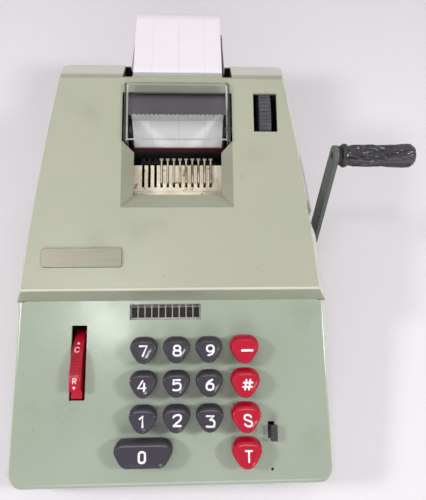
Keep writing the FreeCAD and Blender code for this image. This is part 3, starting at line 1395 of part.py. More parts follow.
def clear_cover():
    """The clear cover over the window's rear half, with its sides rolled down."""
    half, low, high = "(window_width / 2 - 1.3)", "(window_mid - 0.8)", "(window_high + 4.4)"
    thick, rise = "1.4", "4"
    body = new_body()
    roll = 2.6
    def section(lowest):
        return [
            (f"print_x - {half}", lowest), (f"print_x - {half} + {thick}", lowest),
            (f"print_x - {half} + {thick}", f"{rise} - {roll}"), (f"print_x - {half} + {roll}", f"{rise} - {thick}"),
            (f"print_x + {half} - {roll}", f"{rise} - {thick}"), (f"print_x + {half} - {thick}", f"{rise} - {roll}"),
            (f"print_x + {half} - {thick}", lowest), (f"print_x + {half}", lowest),
            (f"print_x + {half}", f"{rise} - {roll}"), (f"print_x + {half} - {roll}", rise),
            (f"print_x - {half} + {roll}", rise), (f"print_x - {half}", f"{rise} - {roll}"),
        ]
    reach = f"{roll} * 0.293"
    bulges = {
        8: (f"print_x + {half} - {reach}", f"{rise} - {reach}"),
        10: (f"print_x - {half} + {reach}", f"{rise} - {reach}"),
    }
    pad(body, outline(body, "front", section("-3"), f"-{high}", bulges=bulges), f"{high} - {low}")
    rear = box(about("print_x", "window_width"), ("window_high - 0.4", f"{high} + 1"), ("-6", "0"))
    corners = [
        box(limits, (f"{low} - 1", f"{low} + 2"), ("-6", "0.4"))
        for limits in ((f"print_x - {half} - 1", f"print_x - {half} + 2"), (f"print_x + {half} - 2", f"print_x + {half} + 1"))
    ]
    return cut(body, [rear] + corners)


def tear_bar():
    """The dark bar that the paper is torn against, bent down between two cheeks."""
    half = "(window_width / 2 - 1.3)"
    bar = box(about("print_x", half), ("tear_front", "window_high + 1.5"), ("-5", "-3.8"))
    lip = box(about("print_x", half), ("tear_front", "tear_front + 1.2"), ("-6.6", "-3.8"))
    cheeks = [
        box(about(f"print_x {side} ({half} - 0.6)", "0.6"), ("window_mid", "window_high + 1.5"), ("-15", "-3.3"))
        for side in "-+"
    ]
    hangers = [
        box(about(f"print_x {side} ({half} - 2)", "2"), ("window_high + 0.3", "window_high + 1.5"), ("-5", "-cover_wall"))
        for side in "-+"
    ]
    body = new_body()
    spots = []
    for number in range(20):
        low = f"(print_x - 26.5 + {number} * 2.65)"
        spots += [(low, "tear_front + 0.3"), (f"{low} + 1.325", "tear_front - 0.9")]
    spots += [("print_x + 26.5", "tear_front + 0.3"), ("print_x + 26.5", "tear_front + 1"),
              ("print_x - 26.5", "tear_front + 1")]
    pad(body, outline(body, "plan", spots, "-6.6"), "1")
    return joined([bar, lip, body] + cheeks + hangers)


def badge_plate():
    """The bare raised plate on the hood's left."""
    body = new_body()
    x, row = about("badge_x", "badge_width / 2"), about("badge_row", "badge_depth / 2")
    pad(body, outline(body, "plan", [(x[0], row[0]), (x[1], row[0]), (x[1], row[1]), (x[0], row[1])]), "badge_thick")
    rounded(body, "1.5", is_upright)
    rounded(body, "0.4", lambda e: e.BoundBox.ZMin > size("badge_thick") - 0.01)
    return body


def ribbon_deck():
    """The plate that carries the ribbon spools and the ribbon's guide posts."""
    top = "(deck_z + 1.5)"
    front = box(about("print_x", "spool_reach + 13"), ("register_y + 16", "spool_y + 15"), ("deck_z", top))
    rear = box(about("print_x", "ribbon_reach + 4"), ("spool_y + 10", "platen_y - 18"), ("deck_z", top))
    throat = box(("print_x - 31", "print_x + 31"), ("type_y - 5", "platen_y"), ("deck_z - 1", f"{top} + 1"))
    studs = [
        rod("z", "spool_stud", "deck_z", "spool_z + spool_height + 1", f"print_x {side} spool_reach", "spool_y")
        for side in "-+"
    ]
    posts = [
        rod("z", "1.6", "deck_z", "ribbon_low + ribbon_height + 1.5", f"print_x {side} ribbon_reach", "ribbon_y - 2")
        for side in "-+"
    ]
    bosses = [
        rod("z", "spool_stud + 2", "deck_z", "spool_z - 0.3", f"print_x {side} spool_reach", "spool_y")
        for side in "-+"
    ]
    return joined([cut(joined([front, rear]), [throat])] + studs + bosses + posts)


def ribbon_spool(side):
    """A ribbon spool with its wound ribbon, on its stud."""
    body = new_body()
    wound, top = "(spool_radius - 1.6)", "(spool_z + spool_height)"
    bore = "(spool_stud + shaft_clearance)"
    spots = [
        (bore, "spool_z"), ("spool_radius", "spool_z"), ("spool_radius", "spool_z + 1"), (wound, "spool_z + 1"),
        (wound, f"{top} - 1"), ("spool_radius", f"{top} - 1"), ("spool_radius", top), (bore, top),
    ]
    turned(body, outline(body, "front", spots), "V_Axis")
    drive(body, "Placement.Base.x", f"print_x {side} spool_reach")
    drive(body, "Placement.Base.y", "spool_y")
    return body


def ribbon():
    """The inked ribbon between the guide posts, with a tail to each spool."""
    body = new_body()
    face, back = ("(ribbon_reach + 2)", "ribbon_y"), ("(ribbon_reach + 1.7)", "(ribbon_y - ribbon_thick)")
    tails = [
        (f"(spool_reach + {reach} * cos(ribbon_turn))", f"(spool_y + {reach} * sin(ribbon_turn))")
        for reach in ("(spool_radius - 0.8)", "(spool_radius - 1.2)")
    ]
    half = [face, tails[0], tails[1], back]
    spots = [(f"print_x - {x}", y) for x, y in half] + [(f"print_x + {x}", y) for x, y in reversed(half)]
    pad(body, outline(body, "plan", spots, "ribbon_low"), "ribbon_height")
    return body


# The whole machine

piece("base_pan", base_pan())
piece("rubber_feet", rubber_feet())
piece("cover_screws", cover_screws())
piece("keyboard_cover", keyboard_cover())
piece("rear_hood", rear_hood())
piece("badge_plate", badge_plate(), "hood")
piece("left_frame", side_frame("frame_left"))
piece("right_frame", side_frame("frame_right"))
piece("tie_rods", tie_rods())
piece("carriage_rails", carriage_rails())
piece("key_frame", key_frame(), "panel")
for key_name in KEYS:
    piece(key_name, key(key_name), "panel")
piece("indicator_lens", indicator_lens(), "panel")
piece("indicator_bars", indicator_bars(), "panel")
piece("indicator_strip", indicator_strip())
piece("pin_carriage", pin_carriage())
piece("rocker", rocker(), "panel")
piece("rocker_bracket", rocker_bracket())
piece("slide_lever", slide_lever(), "panel")
piece("main_shaft", main_shaft())
piece("drive_cams", drive_cams())
piece("crank_hub", crank_hub())
piece("crank_arm", crank_arm(), "arm")
piece("grip_spindle", grip_spindle(), "arm")
piece("crank_grip", crank_grip(), "arm")
piece("actuator_racks", actuator_racks())
piece("register_wheels", register_wheels())
piece("register_shaft", register_shaft())
piece("type_bars", type_bars())
piece("type_shaft", type_shaft())
piece("type_hooks", type_hooks())
piece("type_comb", type_comb())
piece("platen_roller", platen_roller())
piece("platen_shaft", platen_shaft())
piece("paper_wheel", paper_wheel())
piece("feed_rollers", feed_rollers())
piece("paper_strip", paper_strip())
piece("paper_roll", paper_roll())
piece("roll_spindle", roll_spindle())
piece("roll_arms", roll_arms())
piece("paper_guide", paper_guide())
piece("clear_cover", clear_cover(), "hood")
piece("tear_bar", tear_bar(), "hood")
piece("ribbon_deck", ribbon_deck())
piece("ribbon_spool_left", ribbon_spool("-"))
piece("ribbon_spool_right", ribbon_spool("+"))
piece("ribbon", ribbon())

doc.recompute()
faults = [item.Name for item in doc.Objects if "Invalid" in item.State or "Error" in item.State]
for name, item in PIECES.items():
    if item.Shape.isNull() or not item.Shape.isValid():
        faults.append(name)
if faults:
    raise RuntimeError("not built: " + ", ".join(faults))
os.makedirs("parts", exist_ok=True)
for name, item in PIECES.items():
    item.Shape.exportStep(f"parts/{name}.step")
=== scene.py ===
# %% [markdown]
# # A ten-key adding machine, dressed in Blender
# The machine's solids come from CAD and stay where they are. This lesson gives them their finishes,
# and adds the pieces that a solid modeller is clumsy at: moulded key caps, legends, a wrinkled grip
# and torn paper. Everything is in metres, with the origin on the table under the middle of the
# machine: x runs to the operator's right, y to the rear and z up.

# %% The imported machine
import json
import math
import bmesh
import bpy
from mathutils import Matrix, Vector, noise


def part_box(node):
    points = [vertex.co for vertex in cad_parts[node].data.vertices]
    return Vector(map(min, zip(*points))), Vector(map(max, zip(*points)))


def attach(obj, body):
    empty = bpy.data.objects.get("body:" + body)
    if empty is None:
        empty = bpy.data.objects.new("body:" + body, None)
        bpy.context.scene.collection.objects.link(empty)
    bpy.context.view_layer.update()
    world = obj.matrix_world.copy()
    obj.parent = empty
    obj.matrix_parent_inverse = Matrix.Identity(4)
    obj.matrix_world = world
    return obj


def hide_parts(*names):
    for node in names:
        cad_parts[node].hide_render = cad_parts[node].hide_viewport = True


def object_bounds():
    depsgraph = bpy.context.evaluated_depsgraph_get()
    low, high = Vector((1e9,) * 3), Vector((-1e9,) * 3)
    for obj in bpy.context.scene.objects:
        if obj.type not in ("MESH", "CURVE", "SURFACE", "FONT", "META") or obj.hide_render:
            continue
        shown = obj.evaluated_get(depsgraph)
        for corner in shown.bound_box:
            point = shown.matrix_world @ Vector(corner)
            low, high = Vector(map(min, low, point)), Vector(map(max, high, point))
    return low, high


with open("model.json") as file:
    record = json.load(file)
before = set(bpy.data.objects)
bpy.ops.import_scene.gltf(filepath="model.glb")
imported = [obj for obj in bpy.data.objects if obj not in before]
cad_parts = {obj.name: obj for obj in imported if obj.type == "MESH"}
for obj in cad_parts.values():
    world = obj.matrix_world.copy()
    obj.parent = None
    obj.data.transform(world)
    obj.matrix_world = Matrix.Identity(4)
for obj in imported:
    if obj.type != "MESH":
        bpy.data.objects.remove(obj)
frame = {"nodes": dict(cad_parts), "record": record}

MM = 0.001
cad_box = [list(corner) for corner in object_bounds()]
size = [round((high - low) / MM, 1) for low, high in zip(*cad_box)]
print(len(frame["nodes"]), "CAD nodes, together", size, "mm")

# %% [markdown]
# ## The camera
# The photograph looks steeply down on the machine from above its front edge. A camera can be placed
# by eye or from points that can be measured on both the photograph and the machine. Points were
# used, and what they gave is written here as three angles and a place. Building the matrix from the
# three directions that the camera looks along avoids the question of the order in which Euler
# angles are applied.

# %% The camera
down, aside, roll = (math.radians(angle) for angle in (64.77, 5.558, 4.725))
flat = math.cos(down)
ahead = Vector((math.sin(aside) * flat, math.cos(aside) * flat, -math.sin(down)))
level = Vector((math.cos(aside), -math.sin(aside), 0))
upward = level.cross(ahead)
across = math.cos(roll) * level + math.sin(roll) * upward
upright = -math.sin(roll) * level + math.cos(roll) * upward
turn = Matrix((across, upright, -ahead)).transposed().to_4x4()
lens = bpy.data.cameras.new("camera")
lens.sensor_width = 36
lens.lens = 36.11
camera = bpy.data.objects.new("camera", lens)
place = Vector((-12.78, -154.60, 362.7)) * MM
camera.matrix_world = Matrix.Translation(place) @ turn
bpy.context.scene.collection.objects.link(camera)
bpy.context.scene.camera = camera
bpy.context.scene.view_settings.view_transform = "Standard"
print("camera", round(camera.location.length / MM), "mm from the origin, lens", lens.lens)

# %% [markdown]
# ## Arithmetic on shader sockets
# A finish is easier to read as a sum than as a heap of nodes that are made and linked one by one.
# This small class wraps the output of a node. Plus, minus and times on it add Math nodes, and every
# other kind of node comes from one method, which sets the node's own settings first and then fills
# its sockets with numbers, colours or other outputs.

# %% One output of a shader node
class Wire:
    """An output of a shader node, or only a node tree to start from."""

    def __init__(self, tree, socket=None):
        self.tree = tree
        self.socket = socket

    def node(self, kind, settings, values, out=0):
        made = self.tree.nodes.new("ShaderNode" + kind)
        for name, value in settings.items():
            setattr(made, name, value)
        for name, value in values.items():
            if isinstance(value, Wire):
                self.tree.links.new(value.socket, made.inputs[name])
            else:
                made.inputs[name].default_value = value
        return Wire(self.tree, made.outputs[out] if made.outputs else None)

    def maths(self, operation, other=0.0, swapped=False):
        pair = (other, self) if swapped else (self, other)
        return self.node("Math", {"operation": operation}, dict(enumerate(pair)))

    def __add__(self, other):
        return self.maths("ADD", other)

    def __sub__(self, other):
        return self.maths("SUBTRACT", other)

    def __rsub__(self, other):
        return self.maths("SUBTRACT", other, True)

    def __mul__(self, other):
        return self.maths("MULTIPLY", other)

    __radd__ = __add__
    __rmul__ = __mul__

    def mix(self, low, high):
        """The first colour where this is 0, the second where it is 1."""
        return self.node("Mix", {"data_type": "RGBA"}, {0: self, 6: low, 7: high}, 2)

    def ease(self, low, high):
        """0 below low, 1 above high, smooth between."""
        return self.node("MapRange", {"interpolation_type": "SMOOTHSTEP"},
                         {"Value": self, "From Min": low, "From Max": high})

    def part(self, axis):
        """One part of a vector: 0, 1 or 2 for x, y or z."""
        return self.node("SeparateXYZ", {}, {0: self}, axis)

    def where(self, centre=(0, 0, 0), stretch=(1, 1, 1)):
        """Object coordinates, in metres, from a centre and stretched."""
        place = self.node("TexCoord", {}, {}, "Object")
        place = self.node("VectorMath", {"operation": "SUBTRACT"}, {0: place, 1: centre})
        return self.node("Mapping", {}, {"Vector": place, "Scale": stretch})

    def cloud(self, scale, detail=3.0, place=None):
        """A soft noise, about 0.5 on average."""
        place = place or self.where()
        return self.node("TexNoise", {}, {"Vector": place, "Scale": scale, "Detail": detail})


print("arithmetic ready")

# %% [markdown]
# A colour is chosen by how it looks on a screen, but a shader counts light, so one helper turns the
# first into the second. Two more helpers begin a finish and end it, because all finishes begin and
# end alike, with an empty tree and with a bump, the Principled shader and the output.

# %% A colour, and the two ends of a finish
def tint(red, green, blue):
    """A colour written as it looks on a screen, from 0 to 255, as the shader's own numbers."""
    parts = [value / 255 for value in (red, green, blue)]
    return (*[p / 12.92 if p < 0.04045 else ((p + 0.055) / 1.055) ** 2.4 for p in parts], 1)


def started(name):
    """An empty finish and the tree that its nodes go into."""
    made = bpy.data.materials.new(name)
    made.use_nodes = True
    made.node_tree.nodes.clear()
    return made, Wire(made.node_tree)


def closed(sheet, values, height=None, depth=0.05):
    """Ends a finish: a bump of some depth in millimetres, the Principled shader and the output."""
    if height is not None:
        bump = {"Height": height, "Strength": 1.0, "Distance": depth * MM}
        values["Normal"] = sheet.node("Bump", {}, bump)
    shader = sheet.node("BsdfPrincipled", {}, values)
    sheet.node("OutputMaterial", {}, {"Surface": shader})


print("a grey green, as the shader counts it:", [round(part, 3) for part in tint(180, 190, 170)])

# %% [markdown]
# ## Table and light
# The machine stands on a plain white sheet in a bright room. A bright world alone would leave it
# without shadows, and a sun would cut hard ones, so the light comes from soft lamps. A wide panel
# in front lights what faces the operator, and a weaker one behind lights the rear slopes. Two small
# lamps at the sides give each key its pair of soft shadows, and a little one high up shows mainly
# as its mirror image in the glossy key panel. The world looks white to the camera and to
# reflections, but lights the machine less.

# %% The floor
shape = bmesh.new()
bmesh.ops.create_grid(shape, x_segments=1, y_segments=1, size=3)
mesh = bpy.data.meshes.new("floor")
shape.to_mesh(mesh)
shape.free()
floor = bpy.data.objects.new("floor", mesh)
bpy.context.scene.collection.objects.link(floor)
finish, sheet = started("floor_paper")
shade = sheet.cloud(3).mix(tint(235, 231, 234), tint(231, 227, 231))
closed(sheet, {"Base Color": shade, "Roughness": 0.9})
mesh.materials.append(finish)
print("floor", floor.dimensions.x, "m wide")


# %% The lamps and the world
def lamp(name, place, wide, power, aim=(0, 0, 0.05), deep=None):
    """A rectangular soft lamp that faces a point; it is square if no depth is given."""
    light = bpy.data.lights.new(name, "AREA")
    light.shape = "RECTANGLE"
    light.size = wide
    light.size_y = deep or wide
    light.energy = power
    made = bpy.data.objects.new(name, light)
    turned = (Vector(aim) - Vector(place)).to_track_quat("-Z", "Y")
    made.matrix_world = Matrix.Translation(place) @ turned.to_matrix().to_4x4()
    bpy.context.scene.collection.objects.link(made)
    return made


lamps = [
    lamp("front_panel", (0.0, -1.35, 0.78), 0.9, 6.6, deep=0.55),
    lamp("rear_panel", (0.5, 1.0, 1.25), 1.0, 2.5),
    lamp("window", (-0.262, -0.238, 1.236), 0.13, 1.1, (-0.062, -0.062, 0.069), 0.06),
    lamp("right_lamp", (0.62, -0.20, 0.74), 0.14, 3.4),
    lamp("left_lamp", (-0.62, -0.12, 0.70), 0.14, 3.0),
]
world = bpy.data.worlds.new("world")
bpy.context.scene.world = world
world.use_nodes = True
world.node_tree.nodes.clear()
sheet = Wire(world.node_tree)
seen = sheet.node("LightPath", {}, {}, "Is Camera Ray")
seen = seen.maths("MAXIMUM", sheet.node("LightPath", {}, {}, "Is Glossy Ray"))
seen = seen.maths("MAXIMUM", sheet.node("LightPath", {}, {}, "Is Transmission Ray"))
sky = sheet.node("Background", {}, {"Color": tint(238, 234, 238), "Strength": seen * 0.57 + 0.38})
sheet.node("OutputWorld", {}, {"Surface": sky})
print(len(lamps), "lamps")

# %% [markdown]
# ## Finishes
# The covers are pressed sheet with sprayed enamel, a pale grey green that is a little warmer on the
# hood. It has aged: the colour drifts, the gloss is uneven and the surface is faintly wavy like
# orange peel. Two marks are painted light. Slopes that face aside and rearwards are mixed towards a
# pale grey, a painted reflection of the bright room, and the hood's front bend carries a painted
# highlight line. Painting this on an image would need an unwrapped mesh. Noise on object coordinates
# needs none and has no seams, and the direction that a surface faces says where the painted
# reflection goes. One function makes both enamels, because only their numbers differ.

# %% Enamel
MIDDLE_X = -24.75  # the covers' middle plane, in millimetres


def enamel(name, fresh, aged, dirt, reflection_share, gloss, bend=None):
    """Sprayed enamel: drift, specks, uneven gloss, waves, painted reflection on slopes, painted bend
    highlight.
    """
    made, sheet = started(name)
    drift = sheet.cloud(14, 4)
    grain = sheet.cloud(420, 2)
    specks = sheet.cloud(190, 3).ease(0.71, 0.76)
    handled = sheet.cloud(30, 5).ease(0.56, 0.74)
    colour = drift.ease(0.35, 0.7).mix(fresh, aged)
    colour = (handled * 0.22).mix(colour, dirt)
    colour = (specks * 0.35).mix(colour, dirt)
    # painted reflection: slopes that face aside or rearwards, near the covers' sides and rear, are
    # mixed towards a pale grey as if they mirrored the bright room
    normal = sheet.node("TexCoord", {}, {}, "Normal")
    spot = sheet.where(centre=(MIDDLE_X * MM, 0, 0))
    sideways = normal.part(0).maths("ABSOLUTE").ease(0.25, 0.6)
    sideways = sideways * spot.part(0).maths("ABSOLUTE").ease(0.05, 0.06)
    rearward = normal.part(1).ease(0.1, 0.4) * spot.part(1).ease(0.08, 0.085)
    sloping = normal.part(2).ease(0.08, 0.2)
    painted_reflection = sideways.maths("MAXIMUM", rearward) * sloping * reflection_share
    colour = painted_reflection.mix(colour, tint(222, 220, 212))
    # painted highlight: a pale line along the hood's front bend, standing in for the light that its
    # rounded edge catches
    if bend:
        off = sheet.where(centre=bend, stretch=(0, 1, 1))
        off = sheet.node("VectorMath", {"operation": "LENGTH"}, {0: off}, "Value")
        wear_and_highlight = (1 - off.ease(0.0006, 0.0014)) * (drift * 0.7 + 0.35)
        colour = wear_and_highlight.mix(colour, tint(226, 229, 210))
    waves = sheet.cloud(95, 2) + grain * 0.12
    rough = gloss + handled * 0.12 + grain * 0.06
    closed(sheet, {"Base Color": colour, "Roughness": rough}, waves, 0.11)
    return made


panel_enamel = enamel("panel_enamel", tint(160, 171, 155), tint(154, 165, 148), tint(128, 134, 112),
                      0.75, 0.17)
hood_enamel = enamel("hood_enamel", tint(169, 172, 151), tint(163, 167, 144), tint(136, 134, 110),
                     0.8, 0.28, (0, -0.0517, 0.0893))
print("enamels:", panel_enamel.name, hood_enamel.name)

# %% [markdown]
# The other finishes fall into two families. Plastic, rubber and lacquer scuff, so they get soft
# patches of a second colour and a fine grain. Bare and plated metal shows the fine lines of drawing
# or grinding, dull patches and stains. Each family is one function, and a table gives each material
# slot of the machine its finish.

# %% Plastics, paints and metals
def darker(colour, share):
    """The same colour with a share of its light."""
    return (*[share * part for part in colour[:3]], 1)


def moulded(name, colour, worn, gloss, grain=260, depth=0.03, wear=0.25):
    """One plastic, paint or rubber: two close colours, fine scuffs and a fine grain."""
    made, sheet = started(name)
    scuff = sheet.cloud(120, 5).ease(0.55, 0.72)
    shade = (scuff * wear).mix(sheet.cloud(35).mix(colour, darker(colour, 0.93)), worn)
    rough = gloss + scuff * 0.14 + sheet.cloud(grain) * 0.05
    closed(sheet, {"Base Color": shade, "Roughness": rough}, sheet.cloud(grain, 2), depth)
    return made


def brushed(name, colour, stain, gloss, stretch=(1, 30, 30), rust=0.66):
    """Bare or plated metal: fine drawn lines, dull patches and a few stains."""
    made, sheet = started(name)
    lines = sheet.cloud(60, 4, sheet.where(stretch=stretch))
    patch = sheet.cloud(55, 5).ease(rust, rust + 0.14)
    shade = patch.mix(lines.mix(colour, darker(colour, 0.82)), stain)
    rough = gloss + lines * 0.16 + patch * 0.3
    bare = 1 - patch * 0.6
    closed(sheet, {"Base Color": shade, "Metallic": bare, "Roughness": rough}, lines, 0.02)
    return made


finishes = {
    "panel_paint": panel_enamel,
    "hood_paint": hood_enamel,
    "base_pan": moulded("pan_paint", tint(150, 152, 142), tint(110, 110, 100), 0.45),
    "rubber": moulded("foot_rubber", tint(38, 37, 36), tint(70, 68, 64), 0.75, 500, 0.06),
    "screw": brushed("screw_steel", tint(150, 150, 148), tint(90, 74, 56), 0.3),
    "frame_steel": brushed("frame_steel", tint(150, 150, 146), tint(104, 88, 66), 0.38, (1, 1, 30)),
    "shaft_steel": brushed("shaft_steel", tint(184, 184, 182), tint(120, 100, 76), 0.22,
                           (40, 1, 1)),
    "register_metal": brushed("register_metal", tint(178, 168, 140), tint(110, 96, 70), 0.33),
    "dark_strip": moulded("column_strip", tint(40, 26, 28), tint(74, 58, 56), 0.55),
    "white_plastic": moulded("column_frame", tint(240, 234, 234), tint(196, 184, 178), 0.35),
    "black_metal": moulded("black_lacquer", tint(44, 42, 46), tint(92, 90, 92), 0.3, 300, 0.02),
    "black_plastic": moulded("lever_plastic", tint(54, 55, 56), tint(96, 98, 98), 0.38),
    "arm_paint": moulded("arm_paint", tint(82, 90, 84), tint(112, 116, 108), 0.34, 180, 0.05),
    "platen": moulded("platen_rubber", tint(46, 44, 46), tint(70, 66, 66), 0.6),
    "wheel": moulded("wheel_plastic", tint(62, 62, 66), tint(104, 104, 108), 0.4),
}
print(len(finishes), "finishes so far")

# %% [markdown]
# The caps are thick glossy plastic. Years of fingers have left hairline scratches that only show in
# the reflections, and dust in the grain. Scratches could be cut into the mesh, but a high gloss
# with a very shallow bump gives the same glints for nothing.

# %% Cap plastic
def cap_plastic(name, colour, wear_and_highlight):
    """Glossy moulded plastic with dust and hairline scratches."""
    made, sheet = started(name)
    hairs = sheet.cloud(200, 2, sheet.where(stretch=(1, 7, 1))).ease(0.62, 0.70)
    dust = sheet.cloud(900, 2).ease(0.68, 0.76)
    shade = (dust * 0.12).mix(sheet.cloud(40).mix(colour, wear_and_highlight), tint(170, 168, 166))
    rough = 0.09 + hairs * 0.12 + sheet.cloud(70, 4) * 0.06
    closed(sheet, {"Base Color": shade, "Roughness": rough, "IOR": 1.53, "Specular IOR Level": 0.3},
           sheet.cloud(160, 3) + hairs * 0.2, 0.02)
    return made


finishes["digit_cap"] = cap_plastic("digit_plastic", tint(56, 53, 62), tint(64, 61, 70))
finishes["red_cap"] = cap_plastic("red_plastic", tint(176, 6, 38), tint(184, 14, 46))
print("cap plastics:", finishes["digit_cap"].name, finishes["red_cap"].name)

# %% [markdown]
# Clear acrylic is nearly all reflection and no colour. A glass shader would also darken what lies
# under it, because the lamps' light gets through it only by chance. Mixing a see-through shader
# with a glossy one, by how slantwise the surface is seen, gives the streaks on the rolled edges and
# leaves the paper bright.

# %% Clear acrylic
finishes["clear"], sheet = started("clear_acrylic")
haze = sheet.cloud(45, 5).ease(0.5, 0.8)
scratches = sheet.cloud(150, 3, sheet.where(stretch=(1, 9, 1))).ease(0.66, 0.7)
rim = sheet.node("Fresnel", {}, {"IOR": 1.49})
sheen = {"Base Color": tint(235, 236, 238), "Metallic": 1.0, "Roughness": 0.05 + haze * 0.12}
sheen = sheet.node("BsdfPrincipled", {}, sheen)
through = sheet.node("BsdfTransparent", {}, {"Color": tint(252, 253, 252)})
share = (rim - 0.035) * 0.9 + scratches * 0.05 + haze * 0.01
both = sheet.node("MixShader", {}, {0: share, 1: through, 2: sheen})
sheet.node("OutputMaterial", {}, {"Surface": both})
print("clear acrylic for the cover and the indicator's lens")

# %% [markdown]
# The comb under the print window was once ivory lacquer. It has yellowed unevenly, and moisture has
# lifted rust through it in freckles, which on the machine gather near its front edge; here they are
# spread evenly over it. A Voronoi pattern would give round spots; a steep threshold on noise gives
# the ragged ones that rust makes.

# %% Aged comb
finishes["comb"], sheet = started("comb_lacquer")
blotch = sheet.cloud(90, 5)
rust = sheet.cloud(260, 6).ease(0.63, 0.69)
pits = sheet.cloud(620, 3).ease(0.68, 0.72)
cream = blotch.ease(0.35, 0.7).mix(tint(242, 234, 214), tint(222, 209, 176))
cream = (rust * 0.8).mix(cream, tint(112, 84, 52))
cream = (pits * 0.6).mix(cream, tint(74, 56, 40))
closed(sheet, {"Base Color": cream, "Roughness": 0.5 + rust * 0.3}, blotch - rust * 0.6, 0.08)
print("comb lacquer with rust and pits")

# %% [markdown]
# Roll paper is smooth and nearly white, a little warmer where it lies in the open behind the
# machine. In the print window it is a purer, slightly blue white, a painted lighter copy of the
# paper that makes up for the shade in the window. It has three soft creases along its length,
# where it was once folded over. Noise can't draw a line that runs straight from end to end, so
# each crease is the set of points at a fixed distance from the strip's middle. The creases are
# raised by the bump and darkened towards a blue grey as painted shade.

# %% Paper
PAPER_MIDDLE = -21.55
finishes["paper"], sheet = started("roll_paper")
fibre = sheet.cloud(1400, 3)
drift = sheet.cloud(60, 3)
along = sheet.where(centre=(PAPER_MIDDLE * MM, 0, 0)).part(0)
crease = 1 - (along - 0.0006).maths("ABSOLUTE").ease(0.0, 0.0007)
left = 1 - (along + 0.0165).maths("ABSOLUTE").ease(0.0, 0.0006)
right = 1 - (along - 0.0175).maths("ABSOLUTE").ease(0.0, 0.0006)
# painted light: inside the window the paper is whiter than where it lies in the open, to make up for
# the window's shade
white = drift.mix(tint(255, 253, 255), tint(250, 248, 254))
outside = sheet.where().part(1).ease(0.080, 0.092)
white = outside.mix(white, drift.mix(tint(240, 233, 236), tint(234, 227, 230)))
# painted shade: the three creases are darkened towards a blue grey
white = ((crease + left + right) * 0.22).mix(white, tint(190, 188, 198))
closed(sheet, {"Base Color": white, "Roughness": 0.72}, fibre + crease * 0.8, 0.02)
print("paper with three creases")

# %% [markdown]
# The inked ribbon is woven cotton, black in its lower half and worn dark red in its upper half. A
# weave can be modelled thread by thread, which is wasted on a strip that is seen from afar. Two
# wave patterns at right angles, multiplied, give the small pits between the threads, and the height
# over the table says which half a point is in.

# %% Ribbon
RED_FROM = 90.0
finishes["ribbon"], sheet = started("inked_ribbon")
threads = {"Vector": sheet.where(), "Scale": 900.0}
weave = sheet.node("TexWave", {"bands_direction": "Z"}, {**threads, "Distortion": 0.4})
weave = weave * sheet.node("TexWave", {"bands_direction": "X"}, threads)
worn = sheet.cloud(160, 4, sheet.where(stretch=(1, 1, 5)))
red_half = sheet.where().part(2).ease(RED_FROM * MM, (RED_FROM + 1) * MM)
ink = red_half.mix(tint(26, 22, 26), worn.mix(tint(58, 18, 24), tint(84, 34, 38)))
closed(sheet, {"Base Color": ink, "Roughness": 0.78}, weave, 0.05)
print("ribbon, red above", RED_FROM, "mm")

# %% [markdown]
# Three finishes of the table are left. The grip's spindle is worn brass, and the bare plate on the
# hood is dulled nickel: both are metals of the second family. The crank grip is a black composition
# whose skin has shrunk into lengthwise wrinkles and been rubbed by hands. One noise, stretched
# along the grip, drives its colour, its gloss and its bump alike, so that the ridges are paler and
# a little duller than the folds between them.

# %% Brass, nickel and the grip's composition
finishes["brass"] = brushed("worn_brass", tint(96, 78, 56), tint(34, 31, 30), 0.4, (1, 1, 1), 0.36)
finishes["badge"] = brushed("badge_nickel", tint(148, 146, 130), tint(92, 84, 66), 0.42,
                            (1, 20, 20), 0.58)
finishes["grip"], sheet = started("grip_composition")
folds = sheet.cloud(150, 5, sheet.where(stretch=(0.22, 1, 1)))
wear_and_highlight = folds.ease(0.48, 0.7)
shade = wear_and_highlight.mix(tint(34, 32, 36), tint(66, 63, 68))
closed(sheet, {"Base Color": shade, "Roughness": 0.24 + wear_and_highlight * 0.16},
       folds + sheet.cloud(700) * 0.15, 0.35)
print(len(finishes), "finishes in all")

# %% [markdown]
# ## Every CAD node gets its finish
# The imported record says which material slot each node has, and the slots are the keys of the table
# above. Giving finishes by slot and not node by node leaves no node out. Three nodes look different
# from the rest of their slot, so they get a finish of their own. Only the material slots of the
# objects change, and their meshes aren't touched.

# %% The nodes take their finishes
slot_of = {row["node"]: row["material_slot"] for row in frame["record"]["subparts"]}
for name, item in frame["nodes"].items():
    if not item.material_slots:
        item.data.materials.append(None)
    for place in item.material_slots:
        place.material = finishes[slot_of[name]]
own_finish = {
    "tear_bar": brushed("tear_bar_nickel", tint(112, 109, 116), tint(58, 56, 62), 0.36,
                        (0.3, 14, 14), 0.78),
    "type_bars": brushed("inked_type", tint(58, 54, 54), tint(28, 24, 24), 0.5),
    "type_hooks": brushed("aged_hooks", tint(206, 196, 178), tint(128, 104, 78), 0.36,
                          (1, 30, 30), 0.56),
}
for name, finish in own_finish.items():
    for place in frame["nodes"][name].material_slots:
        place.material = finish
print(len(slot_of), "nodes dressed,", len(own_finish), "of them with a finish of their own")

# %% [markdown]
# ## New pieces
# Most new pieces sit on one of the two sloping covers. They could be drawn in the machine's own
# frame, with a sine and a cosine in every number, but it is easier to draw them level, in
# millimetres, and then to tilt the drawing: for the keyboard, x to the right, y up the slope and z
# square to the panel. One helper scales the drawing to metres and puts it in its place in the mesh
# itself, so that the object stays at the origin, and lets it ride on a body. Another draws the
# soft-edged blocks that many of the small pieces are made of.

# %% Two sloping frames, and helpers for new pieces
def leaning(place, slope):
    """The frame of a sheet that slopes up to the rear, from a point on it and its slope."""
    return Matrix.Translation(place) @ Matrix.Rotation(math.radians(slope), 4, "X")


PANEL_SLOPE, HOOD_SLOPE = 13, 15.4
PANEL = leaning((MIDDLE_X, -99.496, 60), PANEL_SLOPE)
HOOD = leaning((MIDDLE_X, -51.752, 89.523), HOOD_SLOPE)


